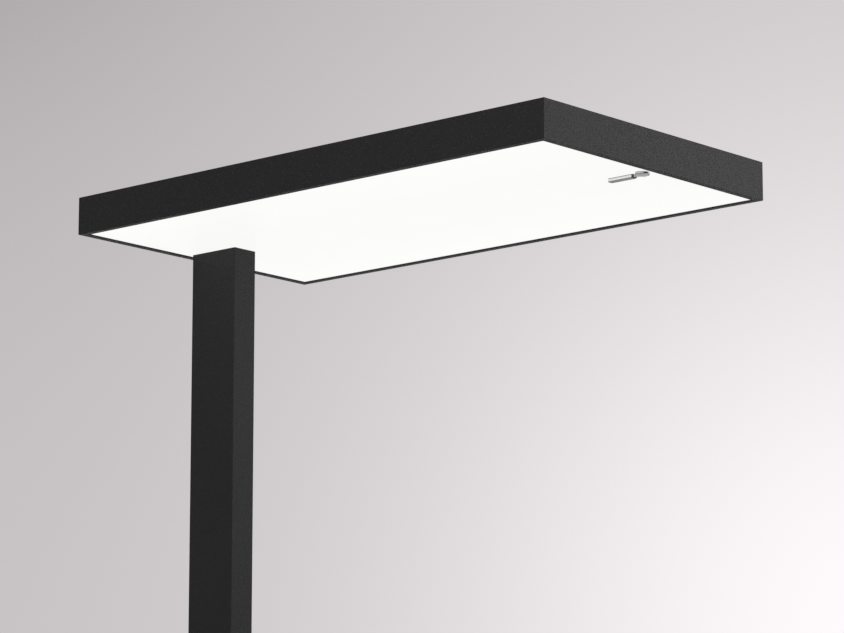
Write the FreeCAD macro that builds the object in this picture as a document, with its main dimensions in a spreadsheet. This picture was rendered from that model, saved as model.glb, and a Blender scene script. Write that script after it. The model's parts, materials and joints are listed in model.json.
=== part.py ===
import FreeCAD, Part
import math
import os

import Sketcher

# An office floor lamp: a flat rectangular head with a lit underside, held near one short end by a
# rectangular post on a steel base plate, with a small dimmer lever under the free end.
#
# Millimetres, Z up. The origin is on the floor under the post's axis, and X points towards the
# head's free end. Inside the head, a level is a height above the bottom of the head's rim, and an
# inset is a distance inwards from the head's outer faces.

DIMENSIONS = {
    # whole lamp
    "total_height": 1950,
    "head_length": 600,
    "head_width": 328,
    "head_height": 38,
    "post_inset": 11.7,
    # base
    "base_length": 450,
    "base_width": 328,
    "base_thick": 8,
    "base_rear": 60,
    "base_corner": 14,
    "base_edge": 1,
    "pad_thick": 2,
    "pad_inset": 4,
    # post
    "post_depth": 60,
    "post_width": 30,
    "post_wall": 2.5,
    "post_corner": 0.8,
    "block_height": 40,
    "block_slack": 0.2,
    "lead_bore": 4.5,
    "fit_slack": 0.1,
    # cuts: how far they run past a face, and a depth that clears any piece
    "overcut": 1,
    "clear_cut": 20,
    # screws: shank radius, head radius, length
    "foot_screw": 3,
    "foot_screw_head": 5.6,
    "foot_screw_length": 32,
    "foot_pitch_x": 38,
    "foot_pitch_y": 13,
    "block_screw": 2,
    "block_screw_head": 4,
    "block_screw_length": 14,
    "block_screw_pitch": 18,
    "post_screw": 2.5,
    "post_screw_head": 4.5,
    "post_screw_head_height": 3,
    "post_screw_length": 24,
    "post_pitch_x": 36,
    "post_pitch_y": 12,
    "small_screw": 1.5,
    "small_screw_head": 2.8,
    "small_screw_head_height": 1.4,
    "plate_screw": 2,
    "plate_screw_head": 3.6,
    "plate_screw_head_height": 2,
    # screw sockets, as shares of the shank's radius and of a raised head's height
    "socket_flats": 1.1,
    "socket_depth": 0.8,
    "head_socket_depth": 0.6,
    "cone_overlap": 0.01,
    # cord gland in the post's rear face
    "gland_height": 100,
    "gland_thread": 8,
    "gland_across_flats": 19,
    "gland_flange_thick": 5,
    "gland_inner_length": 11,
    "gland_neck": 7.5,
    "gland_neck_length": 8,
    "gland_bore": 5,
    "gland_nut_thick": 5,
    "seal_radius": 5.9,
    "seal_bore": 3.6,
    "seal_length": 7,
    "cap_radius": 9.5,
    "cap_length": 13,
    "cap_mouth": 4.5,
    "cap_gap": 0.3,
    "cap_taper_length": 4,
    "cap_taper": 2,
    "cap_nose": 1,
    "cap_lip": 1.2,
    "cap_lip_drop": 0.8,
    "cap_seat": 1.2,
    "cap_seat_slope": 1.4,
    "seal_proud": 1,
    # inlet terminal and the lead up the post
    "inlet_length": 40,
    "inlet_width": 18,
    "inlet_height": 16,
    "wire_entry": 1.6,
    "inlet_entry_x": -12,
    "inlet_pitch": 5.5,
    "lead_radius": 3.5,
    "lead_offset": 14,
    "lead_proud": 3.5,
    "lead_straight": 60,
    "lead_swing": 140,
    # head frame profile
    "frame_wall": 2,
    "rim_width": 7,
    "rim_thick": 1.5,
    "flange_depth": 8,
    "flange_level": 8,
    "flange_thick": 1.5,
    "ledge_depth": 10,
    "ledge_level": 33,
    "ledge_thick": 2,
    "channel_depth": 6,
    "channel_low": 14,
    "channel_high": 30,
    "channel_rib": 1.5,
    "channel_lip": 1,
    "channel_lip_height": 2.5,
    "key_leg": 40,
    "key_slack": 0.2,
    "key_screw_place": 26,
    "key_screw_length": 4.5,
    "key_socket_start": 2.5,
    "tray_screw_inset": 3,
    "cover_screw_inset": 4.5,
    # sheets of the light chamber, from the bottom up
    "sheet_slack": 0.5,
    "diffuser_thick": 2,
    "guide_thick": 4,
    "guide_inset": 5,
    "reflector_thick": 0.5,
    "foam_inset": 8.5,
    "tray_thick": 1.5,
    "cover_thick": 1.5,
    "post_gap": 0.4,
    # head mount
    "mount_plate_thick": 3,
    "mount_plate_length": 165,
    "mount_plate_width": 110,
    "mount_plate_corner": 6,
    "mount_overhang": 3,
    "plate_screw_margin": 8,
    "grommet_radius": 7,
    "grommet_groove": 2,
    "grommet_bore": 3.6,
    "grommet_top": 1.5,
    "grommet_edge": 0.5,
    # downlight
    "strip_margin": 16,
    "strip_thick": 1,
    "strip_width": 4.5,
    "led_long": 5,
    "led_deep": 1,
    "led_tall": 3,
    "downlight_count": 36,
    "led_margin": 10,
    "led_lift": 0.5,
    "feed_led_place": 32.5,
    "feed_notch": 2,
    # uplight
    "slot_length": 440,
    "slot_width": 44,
    "slot_offset": 89,
    "slot_corner": 6,
    "window_margin": 5,
    "window_thick": 2,
    "rail_width": 40,
    "rail_thick": 1.5,
    "rail_height": 8,
    "board_thick": 1.6,
    "uplight_led": 5,
    "uplight_led_thick": 0.8,
    "uplight_count": 18,
    "uplight_led_margin": 10,
    "uplight_row_offset": 8,
    "board_relief": 4,
    # driver
    "driver_start": 150,
    "driver_length": 230,
    "driver_width": 62,
    "driver_height": 20,
    "driver_wall": 1.8,
    "driver_lug": 12,
    "driver_lug_thick": 3,
    "driver_lug_width": 24,
    "driver_lug_overlap": 0.5,
    "driver_board_gap": 1,
    "strip_exit": 24,
    "board_exit": 18,
    "control_exit": -10,
    "control_slack": 0.3,
    # mains terminal
    "terminal_start": 62,
    "terminal_length": 26,
    "terminal_width": 34,
    "terminal_height": 15,
    "terminal_pitch": 9,
    "terminal_entry_depth": 7,
    "terminal_screw": 2,
    "terminal_screw_place": 7,
    "terminal_screw_depth": 5,
    # wires inside the head
    "wire_lift": 10,
    "core_radius": 1.1,
    "strip_lead_radius": 0.8,
    "feed_hole": 1.5,
    "control_lead_radius": 1.7,
    "clip_y": -6,
    "lead_clip_length": 7,
    "lead_clip_width": 9,
    "lead_clip_height": 5.5,
    "lead_clip_slack": 0.15,
    # dimmer lever
    "lever_setback": 18,
    "panel_gap": 0.3,
    "hub_radius": 7,
    "hub_height": 3.2,
    "hub_dome": 0.9,
    "hub_edge": 0.3,
    "arm_drop": 0.1,
    "arm_relief": 0.5,
    "arm_width": 4.4,
    "shaft_radius": 3,
    "shaft_slack": 0.05,
    "shaft_top": 21.5,
    "bar_drop": 0.2,
    "bar_length": 38.5,
    "bar_root": 10.4,
    "bar_width": 6,
    "bar_thick": 3.8,
    "bar_round": 1.2,
    "bar_edge": 0.5,
    "neck_radius": 1,
    "neck_depth": 3,
    "collar_start": 8.8,
    "groove_depth": 0.6,
    "groove_slack": 0.05,
    "ferrule_radius": 4.5,
    "ferrule_flange": 7.5,
    "ferrule_top": 14,
    "clip_radius": 5,
    "clip_thick": 0.8,
    "clip_lift": 0.2,
    "clip_mouth": 0.9,
    "rotor_radius": 8,
    "rotor_thick": 5,
    "rotor_lift": 2,
    "rotor_lug_reach": 12.5,
    "rotor_lug_width": 4,
    "lever_swing": 60,
    "stop_gap": 0.4,
    "stop_place": 11,
    "stop_radius": 2,
    "dimmer_front": 11.2,
    "dimmer_back": 20.8,
    "dimmer_width": 28,
    "dimmer_height": 16,
    "dimmer_wall": 1.5,
    "dimmer_screw_setback": 6.3,
    "dimmer_screw_offset": 7,
    "dimmer_entry": 7,
    "dimmer_shelf": 1.5,
    "dimmer_shelf_inset": 1,
    "dimmer_board_lift": 1,
    "dimmer_board_gap": 0.3,
}

V = FreeCAD.Vector
UP = V(0, 0, 1)
NO_TURN = (UP, 0)
UPSIDE_DOWN = (V(1, 0, 0), 180)
FACING_X = (V(0, 1, 0), 90)
FACING_BACK = (V(0, 1, 0), -90)
TOUCH = 0.01
VOLUME_TOLERANCE = 0.01
ARC_SHARE = 0.45
SCREW_REACH = 0.84
# The hub's dome as shares of the hub's radius and of the dome's height, from the middle out.
HUB_DOME = ((0, -0.5), (0.45, -0.32), (0.75, 0.1), (0.93, 0.6), (1, 1.2))
# The driver board's wound parts and capacitors: place along the driver, y, length, width, height.
WOUND_PARTS = ((125, 0, 34, 30, 11), (70, 12, 22, 14, 9), (175, -8, 26, 16, 9))
# Its round cans: place along the driver and y. All have one radius and one height.
CANS = ((40, -14), (56, -14), (200, 14))
CAN_RADIUS = 5
CAN_HEIGHT = 12

document = FreeCAD.newDocument("office_floor_lamp")
sheet = document.addObject("Spreadsheet::Sheet", "dims")
for row, (alias, amount) in enumerate(DIMENSIONS.items(), 1):
    sheet.set(f"A{row}", alias)
    sheet.set(f"B{row}", str(amount))
    sheet.setAlias(f"B{row}", alias)
document.recompute()

# Places that many parts share, as expressions on the sheet.
HEAD_BOTTOM = "(dims.total_height - dims.head_height)"
HEAD_REAR = "(-dims.post_depth / 2 - dims.post_inset)"
HEAD_FREE = f"({HEAD_REAR} + dims.head_length)"
HEAD_HALF = "(dims.head_width / 2)"
BASE_TOP = "(dims.pad_thick + dims.base_thick)"
DIFFUSER_LEVEL = "dims.rim_thick"
GUIDE_LEVEL = f"({DIFFUSER_LEVEL} + dims.diffuser_thick)"
REFLECTOR_LEVEL = f"({GUIDE_LEVEL} + dims.guide_thick)"
FOAM_LEVEL = f"({REFLECTOR_LEVEL} + dims.reflector_thick)"
TRAY_LEVEL = "(dims.flange_level + dims.flange_thick)"
TRAY_TOP = f"({TRAY_LEVEL} + dims.tray_thick)"
PLATE_TOP = f"({TRAY_TOP} + dims.mount_plate_thick)"
COVER_LEVEL = "(dims.ledge_level + dims.ledge_thick)"
COVER_TOP = f"({COVER_LEVEL} + dims.cover_thick)"
SHEET_INSET = "(dims.frame_wall + dims.sheet_slack)"
LEVER_X = f"({HEAD_FREE} - dims.lever_setback)"
HUB_TOP = "(dims.rim_thick - dims.panel_gap)"
HUB_BOTTOM = f"({HUB_TOP} - dims.hub_height)"
BAR_TOP = f"({HUB_TOP} - dims.bar_drop)"
ROTOR_LEVEL = "(dims.ferrule_top + dims.rotor_lift)"
CLIP_LEVEL = "(dims.ferrule_top + dims.clip_lift)"
NECK_LEVEL = f"({HUB_TOP} - dims.hub_height / 2)"
DIMMER_BOARD = "(dims.shaft_top + dims.dimmer_board_lift)"
DIMMER_ENTRY = f"({TRAY_TOP} + dims.dimmer_entry)"
WIRE_LEVEL = f"({TRAY_TOP} + dims.wire_lift)"
DIMMER_FLOOR = f"({TRAY_TOP} + dims.dimmer_wall)"
TRAY_SCREW_INSET = "(dims.frame_wall + dims.tray_screw_inset)"
COVER_SCREW_INSET = "(dims.frame_wall + dims.cover_screw_inset)"
FIRST_LED = f"({HEAD_REAR} + dims.strip_margin + dims.led_margin)"
LED_RUN = "(dims.head_length - 2 * (dims.strip_margin + dims.led_margin))"
FEED_X = f"({FIRST_LED} + {LED_RUN} * dims.feed_led_place / (dims.downlight_count - 1))"
FEED_Y = f"({HEAD_HALF} - dims.frame_wall - dims.strip_thick - dims.led_deep + dims.fit_slack)"

parts = []


def size(expression):
    """The number that an expression on the sheet has now."""
    return float(sheet.evalExpression(str(expression)))


def keep(thing, name):
    """List an object as a finished part under its name."""
    thing.Label = name
    parts.append(thing)
    return thing


def place(thing, spot, turn=NO_TURN):
    """Turn an object and bind its place to three expressions."""
    thing.Placement = FreeCAD.Placement(V(), FreeCAD.Rotation(*turn))
    for axis, expression in zip("xyz", spot):
        thing.setExpression(f"Placement.Base.{axis}", str(expression))


def new_body(name, spot=(0, 0, 0), turn=NO_TURN):
    """An empty body, listed as a part. It may hold several solids, as a group of screws does."""
    body = document.addObject("PartDesign::Body", name)
    body.AllowCompound = True
    place(body, spot, turn)
    return keep(body, name)


def head_body(name):
    """A body whose own heights are levels in the head."""
    return new_body(name, (0, 0, HEAD_BOTTOM))


def rectangle(x_low, x_high, y_low, y_high):
    """A rectangle's corners."""
    return [(x_low, y_low), (x_high, y_low), (x_high, y_high), (x_low, y_high)]


def centred(x, y, length, width):
    """A rectangle's corners, from its centre and its sides."""
    half_x, half_y = f"({length}) / 2", f"({width}) / 2"
    return rectangle(f"{x} - {half_x}", f"{x} + {half_x}", f"{y} - {half_y}", f"{y} + {half_y}")


def hexagon(x, y, across_flats):
    """A regular hexagon's corners."""
    reach = f"({across_flats}) / sqrt(3)"
    angles = [60 * step for step in range(6)]
    return [(f"{x} + {reach} * cos({angle} deg)", f"{y} + {reach} * sin({angle} deg)") for angle in angles]


def circle(x, y, radius):
    """A circle's centre and radius."""
    return {"x": x, "y": y, "radius": radius}


def pin_point(sketch, edge, end, x, y):
    """Hold one point of a sketch's edge at x, y from the sketch's origin."""
    for kind, expression in (("DistanceX", x), ("DistanceY", y)):
        rule = Sketcher.Constraint(kind, -1, 1, edge, end, size(expression))
        index = sketch.addConstraint(rule)
        sketch.setExpression(f"Constraints[{index}]", str(expression))


def draw_circle(sketch, outline):
    """Add a bound circle to a sketch."""
    centre = V(size(outline["x"]), size(outline["y"]), 0)
    edge = sketch.addGeometry(Part.Circle(centre, UP, size(outline["radius"])), False)
    pin_point(sketch, edge, 3, outline["x"], outline["y"])
    index = sketch.addConstraint(Sketcher.Constraint("Radius", edge, size(outline["radius"])))
    sketch.setExpression(f"Constraints[{index}]", str(outline["radius"]))


def draw_polygon(sketch, corners):
    """Add a closed polygon to a sketch, with every corner bound."""
    spots = [V(size(x), size(y), 0) for x, y in corners]
    first = sketch.GeometryCount
    for start, end in zip(spots, spots[1:] + spots[:1]):
        sketch.addGeometry(Part.LineSegment(start, end), False)
    for step, (x, y) in enumerate(corners):
        following = first + (step + 1) % len(corners)
        sketch.addConstraint(Sketcher.Constraint("Coincident", first + step, 2, following, 1))
        pin_point(sketch, first + step, 1, x, y)


def draw(body, outlines, level=0, plane="XY_Plane"):
    """A sketch of outlines on a plane of the body's own origin, moved along its normal."""
    sketch = body.newObject("Sketcher::SketchObject", f"{body.Name}_sketch")
    support = next(item for item in body.Origin.OriginFeatures if item.Role == plane)
    sketch.AttachmentSupport = [(support, "")]
    sketch.MapMode = "FlatFace"
    sketch.setExpression("AttachmentOffset.Base.z", str(level))
    for outline in outlines:
        if isinstance(outline, dict):
            draw_circle(sketch, outline)
        else:
            draw_polygon(sketch, outline)
    return sketch


def settle(body, volume_before, sign):
    """Recompute and make sure that the last feature added (1) or took away (-1) material."""
    document.recompute()
    change = body.Shape.Volume - volume_before
    if change == 0 or sign * change < 0:
        raise ValueError(f"{body.Label}: the last feature changed nothing ({change:.3f})")


def volume_of(body):
    """The body's volume so far."""
    document.recompute()
    return body.Shape.Volume if not body.Shape.isNull() else 0.0


def pad(body, outlines, level, length, plane="XY_Plane", taper=0):
    """Raise outlines from a level by a length, with sides that lean by taper degrees."""
    before = volume_of(body)
    sketch = draw(body, outlines, level, plane)
    feature = body.newObject("PartDesign::Pad", f"{body.Name}_pad")
    feature.Profile = sketch
    feature.setExpression("Length", str(length))
    if taper:
        feature.TaperAngle = taper
    settle(body, before, 1)
    return feature


def pocket(body, outlines, level=0, depth=None, plane="XY_Plane", forward=False):
    """Cut outlines: right through both ways, or to a depth against or along the normal."""
    before = volume_of(body)
    sketch = draw(body, outlines, level, plane)
    feature = body.newObject("PartDesign::Pocket", f"{body.Name}_pocket")
    feature.Profile = sketch
    if depth is None:
        feature.Type = "ThroughAll"
        feature.SideType = "Symmetric"
    else:
        feature.setExpression("Length", str(depth))
        feature.Reversed = forward
    settle(body, before, -1)
    return feature


def turned(body, corners):
    """Revolve a half section, given as (radius, height) corners, about the body's Z axis."""
    before = volume_of(body)
    sketch = draw(body, [corners], 0, "XZ_Plane")
    feature = body.newObject("PartDesign::Revolution", f"{body.Name}_revolution")
    feature.Profile = sketch
    feature.ReferenceAxis = (sketch, ["V_Axis"])
    feature.Angle = 360
    settle(body, before, 1)
    return feature


def soften(body, kind, amount, chosen):
    """Fillet or chamfer the edges of the body that a test picks."""
    before = volume_of(body)
    base = body.Tip
    names = [f"Edge{i}" for i, edge in enumerate(base.Shape.Edges, 1) if chosen(edge)]
    feature = body.newObject(f"PartDesign::{kind}", f"{body.Name}_{kind.lower()}")
    feature.Base = (base, names)
    feature.setExpression("Radius" if kind == "Fillet" else "Size", str(amount))
    settle(body, before, 0)


def upright(edge):
    """Whether an edge is straight and runs along Z."""
    box = edge.BoundBox
    return box.XLength < TOUCH and box.YLength < TOUCH and box.ZLength > TOUCH


def flat_at(level):
    """A test for edges that lie flat at a height."""
    height = size(level)
    return lambda edge: edge.BoundBox.ZLength < TOUCH and abs(edge.BoundBox.ZMin - height) < TOUCH


def countersunk_holes(body, spots, radius, head_radius, level, plane="XY_Plane", depth=None):
    """Countersunk holes along the plane's normal, from a level."""
    before = volume_of(body)
    sketch = draw(body, [circle(x, y, radius) for x, y in spots], level, plane)
    document.recompute()
    hole = body.newObject("PartDesign::Hole", f"{body.Name}_hole")
    hole.Profile = sketch
    document.recompute()
    hole.setExpression("Diameter", f"2 * ({radius})")
    hole.HoleCutType = "Countersink"
    hole.HoleCutCustomValues = True
    hole.setExpression("HoleCutDiameter", f"2 * ({head_radius})")
    hole.HoleCutCountersinkAngle = 90
    hole.Reversed = True
    if depth is None:
        hole.DepthType = "ThroughAll"
    else:
        hole.DepthType = "Dimension"
        hole.DrillPoint = "Flat"
        hole.setExpression("Depth", str(depth))
    settle(body, before, -1)


def repeat(body, feature, length, count):
    """Repeat a feature along the body's X axis over a length."""
    before = volume_of(body)
    pattern = body.newObject("PartDesign::LinearPattern", f"{body.Name}_pattern")
    pattern.Originals = [feature]
    support = next(item for item in body.Origin.OriginFeatures if item.Role == "X_Axis")
    pattern.Direction = (support, [""])
    pattern.setExpression("Length", str(length))
    pattern.setExpression("Occurrences", str(count))
    body.Tip = pattern
    settle(body, before, 1)


def four_corners(half_x, half_y):
    """The four places at plus or minus two distances."""
    return [(f"{i} * ({half_x})", f"{j} * ({half_y})") for i in (-1, 1) for j in (-1, 1)]


def countersunk_screws(name, spots, shank, head, length, spot, turn):
    """Screws whose heads' flat tops lie at their body's origin plane and whose tips point up."""
    body = new_body(name, spot, turn)
    pad(body, [circle(x, y, shank) for x, y in spots], 0, length)
    cone = f"({head}) - ({shank}) + dims.cone_overlap"
    pad(body, [circle(x, y, head) for x, y in spots], 0, cone, taper=-45)
    flats = f"dims.socket_flats * ({shank})"
    pocket(body, [hexagon(x, y, flats) for x, y in spots], 0, f"dims.socket_depth * ({shank})", forward=True)


def headed_screws(name, spots, shank, head, head_height, length, spot, turn):
    """Screws whose heads stand below their body's origin plane and whose tips point up."""
    body = new_body(name, spot, turn)
    pad(body, [circle(x, y, head) for x, y in spots], f"-({head_height})", head_height)
    pad(body, [circle(x, y, shank) for x, y in spots], 0, length)
    flats = f"dims.socket_flats * ({shank})"
    sockets = [hexagon(x, y, flats) for x, y in spots]
    pocket(body, sockets, f"-({head_height})", f"dims.head_socket_depth * ({head_height})", forward=True)


def routed_tube(name, routes, radius):
    """Round tubes that follow lists of points, with an arc at each inner point."""
    solids = []
    for points in routes:
        path = rounded_path([V(*point) for point in points])
        start = points[0]
        heading = V(*points[1]) - V(*start)
        ring = Part.Wire([Part.Circle(V(*start), heading, radius).toShape()])
        solid = path.makePipeShell([ring], True, False)
        expected = path.Length * math.pi * radius**2
        if abs(solid.Volume / expected - 1) > VOLUME_TOLERANCE:
            raise ValueError(f"{name}: swept volume {solid.Volume:.1f}, expected {expected:.1f}")
        solids.append(solid)
    feature = document.addObject("Part::Feature", name)
    feature.Shape = Part.makeCompound(solids)
    place(feature, (0, 0, 0))
    return keep(feature, name)


def rounded_path(points):
    """Straight runs between points, joined by tangent arcs as large as the shorter run allows."""
    edges = []
    start = points[0]
    radii = []
    for before, corner, after in zip(points, points[1:], points[2:]):
        back, ahead = before - corner, after - corner
        half_turn = (math.pi - back.getAngle(ahead)) / 2
        reach = ARC_SHARE * min(back.Length, ahead.Length)
        radii.append(reach / math.tan(half_turn))
        leave = corner + back.normalize() * reach
        join = corner + ahead.normalize() * reach
        middle = (leave + join) * 0.5
        towards = (middle - corner).normalize()
        sagitta = radii[-1] * (1 / math.cos(half_turn) - 1)
        edges.append(Part.LineSegment(start, leave).toShape())
        edges.append(Part.Arc(leave, corner + towards * sagitta, join).toShape())
        start = join
    edges.append(Part.LineSegment(start, points[-1]).toShape())
    if radii:
        print("arc radii", [round(radius, 1) for radius in radii])
    return Part.Wire(edges)


# ---------------------------------------------------------------- base


def build_base():
    """The steel plate, the rubber sheet under it and the screws up into the post."""
    rear, front = "-dims.base_rear", "(dims.base_length - dims.base_rear)"
    half = "dims.base_width / 2"
    plate = new_body("base_plate", (0, 0, "dims.pad_thick"))
    pad(plate, [rectangle(rear, front, f"-{half}", half)], 0, "dims.base_thick")
    soften(plate, "Fillet", "dims.base_corner", upright)
    soften(plate, "Chamfer", "dims.base_edge", flat_at("dims.base_thick"))
    spots = four_corners("dims.foot_pitch_x / 2", "dims.foot_pitch_y / 2")
    hole, seat = "dims.foot_screw + dims.fit_slack", "dims.foot_screw_head + dims.fit_slack"
    countersunk_holes(plate, spots, hole, seat, 0)
    rubber = new_body("base_pad")
    inset = "dims.pad_inset"
    outline = rectangle(f"{rear} + {inset}", f"{front} - {inset}", f"-{half} + {inset}", f"{half} - {inset}")
    pad(rubber, [outline], 0, "dims.pad_thick")
    soften(rubber, "Fillet", f"dims.base_corner - {inset}", upright)
    countersunk_screws(
        "foot_screws",
        spots,
        "dims.foot_screw",
        "dims.foot_screw_head",
        "dims.foot_screw_length",
        (0, 0, "dims.pad_thick"),
        NO_TURN,
    )


# ---------------------------------------------------------------- post


def build_post():
    """The rectangular tube with its two inserts and the screws that hold them."""
    head_block_top = f"({HEAD_BOTTOM} + {TRAY_LEVEL})"
    depth, width = "dims.post_depth", "dims.post_width"
    inner_depth, inner_width = f"({depth} - 2 * dims.post_wall)", f"({width} - 2 * dims.post_wall)"
    tube = new_body("post_tube", (0, 0, BASE_TOP))
    outer = centred(0, 0, depth, width)
    pad(tube, [outer], 0, f"{head_block_top} - {BASE_TOP}")
    soften(tube, "Fillet", "dims.post_corner", upright)
    pocket(tube, [centred(0, 0, inner_depth, inner_width)])
    low = "(dims.block_height / 2)"
    high = f"({head_block_top} - {BASE_TOP} - dims.block_height / 2)"
    pitch = "dims.block_screw_pitch / 2"
    heights = [f"{low} - {pitch}", f"{low} + {pitch}", f"{high} - {pitch}", f"{high} + {pitch}"]
    hole, seat = "dims.block_screw + dims.fit_slack", "dims.block_screw_head + dims.fit_slack"
    rear = f"-{depth} / 2"
    through_wall = "dims.post_wall + dims.overcut"
    spots = [(0, height) for height in heights]
    countersunk_holes(tube, spots, hole, seat, rear, "YZ_Plane", through_wall)
    gland_hole = circle(0, f"dims.gland_height - {BASE_TOP}", "dims.gland_thread + dims.fit_slack")
    pocket(tube, [gland_hole], rear, through_wall, "YZ_Plane", forward=True)
    build_post_block("post_foot_block", BASE_TOP, "dims.foot_screw", "dims.foot_pitch_x", "dims.foot_pitch_y")
    head_block_bottom = f"({head_block_top} - dims.block_height)"
    block = build_post_block(
        "post_head_block", head_block_bottom, "dims.post_screw", "dims.post_pitch_x", "dims.post_pitch_y"
    )
    pocket(block, [circle(0, 0, "dims.lead_bore")])
    countersunk_screws(
        "block_screws",
        [(f"-({height} + {BASE_TOP})", 0) for height in heights],
        "dims.block_screw",
        "dims.block_screw_head",
        "dims.block_screw_length",
        (rear, 0, 0),
        FACING_X,
    )


def build_post_block(name, bottom, screw, pitch_x, pitch_y):
    """An insert in an end of the post, tapped for four upright screws and two from the rear."""
    slack = "2 * (dims.post_wall + dims.block_slack)"
    depth, width = f"(dims.post_depth - {slack})", f"(dims.post_width - {slack})"
    block = new_body(name, (0, 0, bottom))
    pad(block, [centred(0, 0, depth, width)], 0, "dims.block_height")
    tapped = f"{screw} + dims.fit_slack"
    spots = four_corners(f"{pitch_x} / 2", f"{pitch_y} / 2")
    pocket(block, [circle(x, y, tapped) for x, y in spots])
    half_pitch = "dims.block_screw_pitch / 2"
    heights = [f"dims.block_height / 2 + {sign} * {half_pitch}" for sign in (-1, 1)]
    sides = [circle(0, height, "dims.block_screw + dims.fit_slack") for height in heights]
    pocket(block, sides, f"-{depth} / 2", "dims.block_screw_length", "YZ_Plane", forward=True)
    return block


def build_gland():
    """The cord gland: body, nut inside the tube, rubber seal and cap, all along -X."""
    spot = ("-dims.post_depth / 2", 0, "dims.gland_height")
    flange = "dims.gland_flange_thick"
    neck_end = f"({flange} + dims.gland_neck_length)"
    seal_start = f"({neck_end} - dims.seal_length + dims.seal_proud)"
    body = new_body("gland_body", spot, FACING_BACK)
    pad(body, [hexagon(0, 0, "dims.gland_across_flats")], 0, flange)
    pad(body, [circle(0, 0, "dims.gland_neck")], flange, "dims.gland_neck_length")
    pad(body, [circle(0, 0, "dims.gland_thread")], "-dims.gland_inner_length", "dims.gland_inner_length")
    pocket(body, [circle(0, 0, "dims.gland_bore")])
    seat = circle(0, 0, "dims.seal_radius + dims.fit_slack")
    pocket(body, [seat], seal_start, "dims.clear_cut", forward=True)
    nut = new_body("gland_locknut", spot, FACING_BACK)
    nut_start = "-dims.post_wall - dims.gland_nut_thick"
    pad(nut, [hexagon(0, 0, "dims.gland_across_flats")], nut_start, "dims.gland_nut_thick")
    pocket(nut, [circle(0, 0, "dims.gland_thread + dims.fit_slack")])
    seal = new_body("gland_seal", spot, FACING_BACK)
    pad(seal, [circle(0, 0, "dims.seal_radius")], seal_start, "dims.seal_length")
    pocket(seal, [circle(0, 0, "dims.seal_bore")])
    cap = new_body("gland_cap", spot, FACING_BACK)
    start, end = f"({flange} + dims.cap_gap)", f"({flange} + dims.cap_length)"
    inner, mouth, outer = "dims.gland_neck + dims.fit_slack", "dims.cap_mouth", "dims.cap_radius"
    shoulder = f"({neck_end} + dims.cap_seat)"
    turned(
        cap,
        [
            (inner, start),
            (outer, start),
            (outer, f"{end} - dims.cap_taper_length"),
            (f"{outer} - dims.cap_taper", f"{end} - dims.cap_nose"),
            (f"{mouth} + dims.cap_lip", end),
            (mouth, f"{end} - dims.cap_lip_drop"),
            (mouth, f"{shoulder} + dims.cap_seat_slope"),
            ("dims.seal_radius", shoulder),
            (inner, shoulder),
        ],
    )


def build_inlet():
    """The terminal in the foot of the post, and the lead from it up into the head."""
    bottom = f"({BASE_TOP} + dims.block_height)"
    terminal = new_body("inlet_terminal", (0, 0, bottom))
    length, width, height = "dims.inlet_length", "dims.inlet_width", "dims.inlet_height"
    pad(terminal, [centred(0, 0, length, width)], 0, height)
    poles = [f"{step} * dims.inlet_pitch" for step in (-1, 0, 1)]
    entries = [circle("dims.inlet_entry_x", y, "dims.wire_entry") for y in poles]
    pocket(terminal, entries, height, "dims.inlet_height / 2")
    lead_start = size(f"{bottom} + {height}")
    lead_end = size(f"{HEAD_BOTTOM} + {PLATE_TOP} + dims.lead_proud")
    offset = size("dims.lead_offset")
    route = [
        (offset, 0, lead_start),
        (offset, 0, lead_start + size("dims.lead_straight")),
        (0, 0, lead_start + size("dims.lead_swing")),
        (0, 0, lead_end),
    ]
    routed_tube("post_lead", [route], size("dims.lead_radius"))


# ---------------------------------------------------------------- head frame


def frame_section():
    """The profile's section as (inset, level) corners, from the outer bottom edge round."""
    wall, rim = "dims.frame_wall", "dims.rim_width"
    flange, ledge, channel = "dims.flange_depth", "dims.ledge_depth", "dims.channel_depth"
    lip = "(dims.channel_depth - dims.channel_lip)"
    low, high = "dims.channel_low", "dims.channel_high"
    low_rib = "(dims.channel_low + dims.channel_rib)"
    high_rib = "(dims.channel_high - dims.channel_rib)"
    low_lip = f"({low_rib} + dims.channel_lip_height)"
    high_lip = f"({high_rib} - dims.channel_lip_height)"
    return [
        (0, 0),
        (rim, 0),
        (rim, "dims.rim_thick"),
        (wall, "dims.rim_thick"),
        (wall, "dims.flange_level"),
        (flange, "dims.flange_level"),
        (flange, TRAY_LEVEL),
        (wall, TRAY_LEVEL),
        (wall, low),
        (channel, low),
        (channel, low_lip),
        (lip, low_lip),
        (lip, low_rib),
        (wall, low_rib),
        (wall, high_rib),
        (lip, high_rib),
        (lip, high_lip),
        (channel, high_lip),
        (channel, high),
        (wall, high),
        (wall, "dims.ledge_level"),
        (ledge, "dims.ledge_level"),
        (ledge, COVER_LEVEL),
        (wall, COVER_LEVEL),
        (wall, "dims.head_height"),
        (0, "dims.head_height"),
    ]


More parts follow.
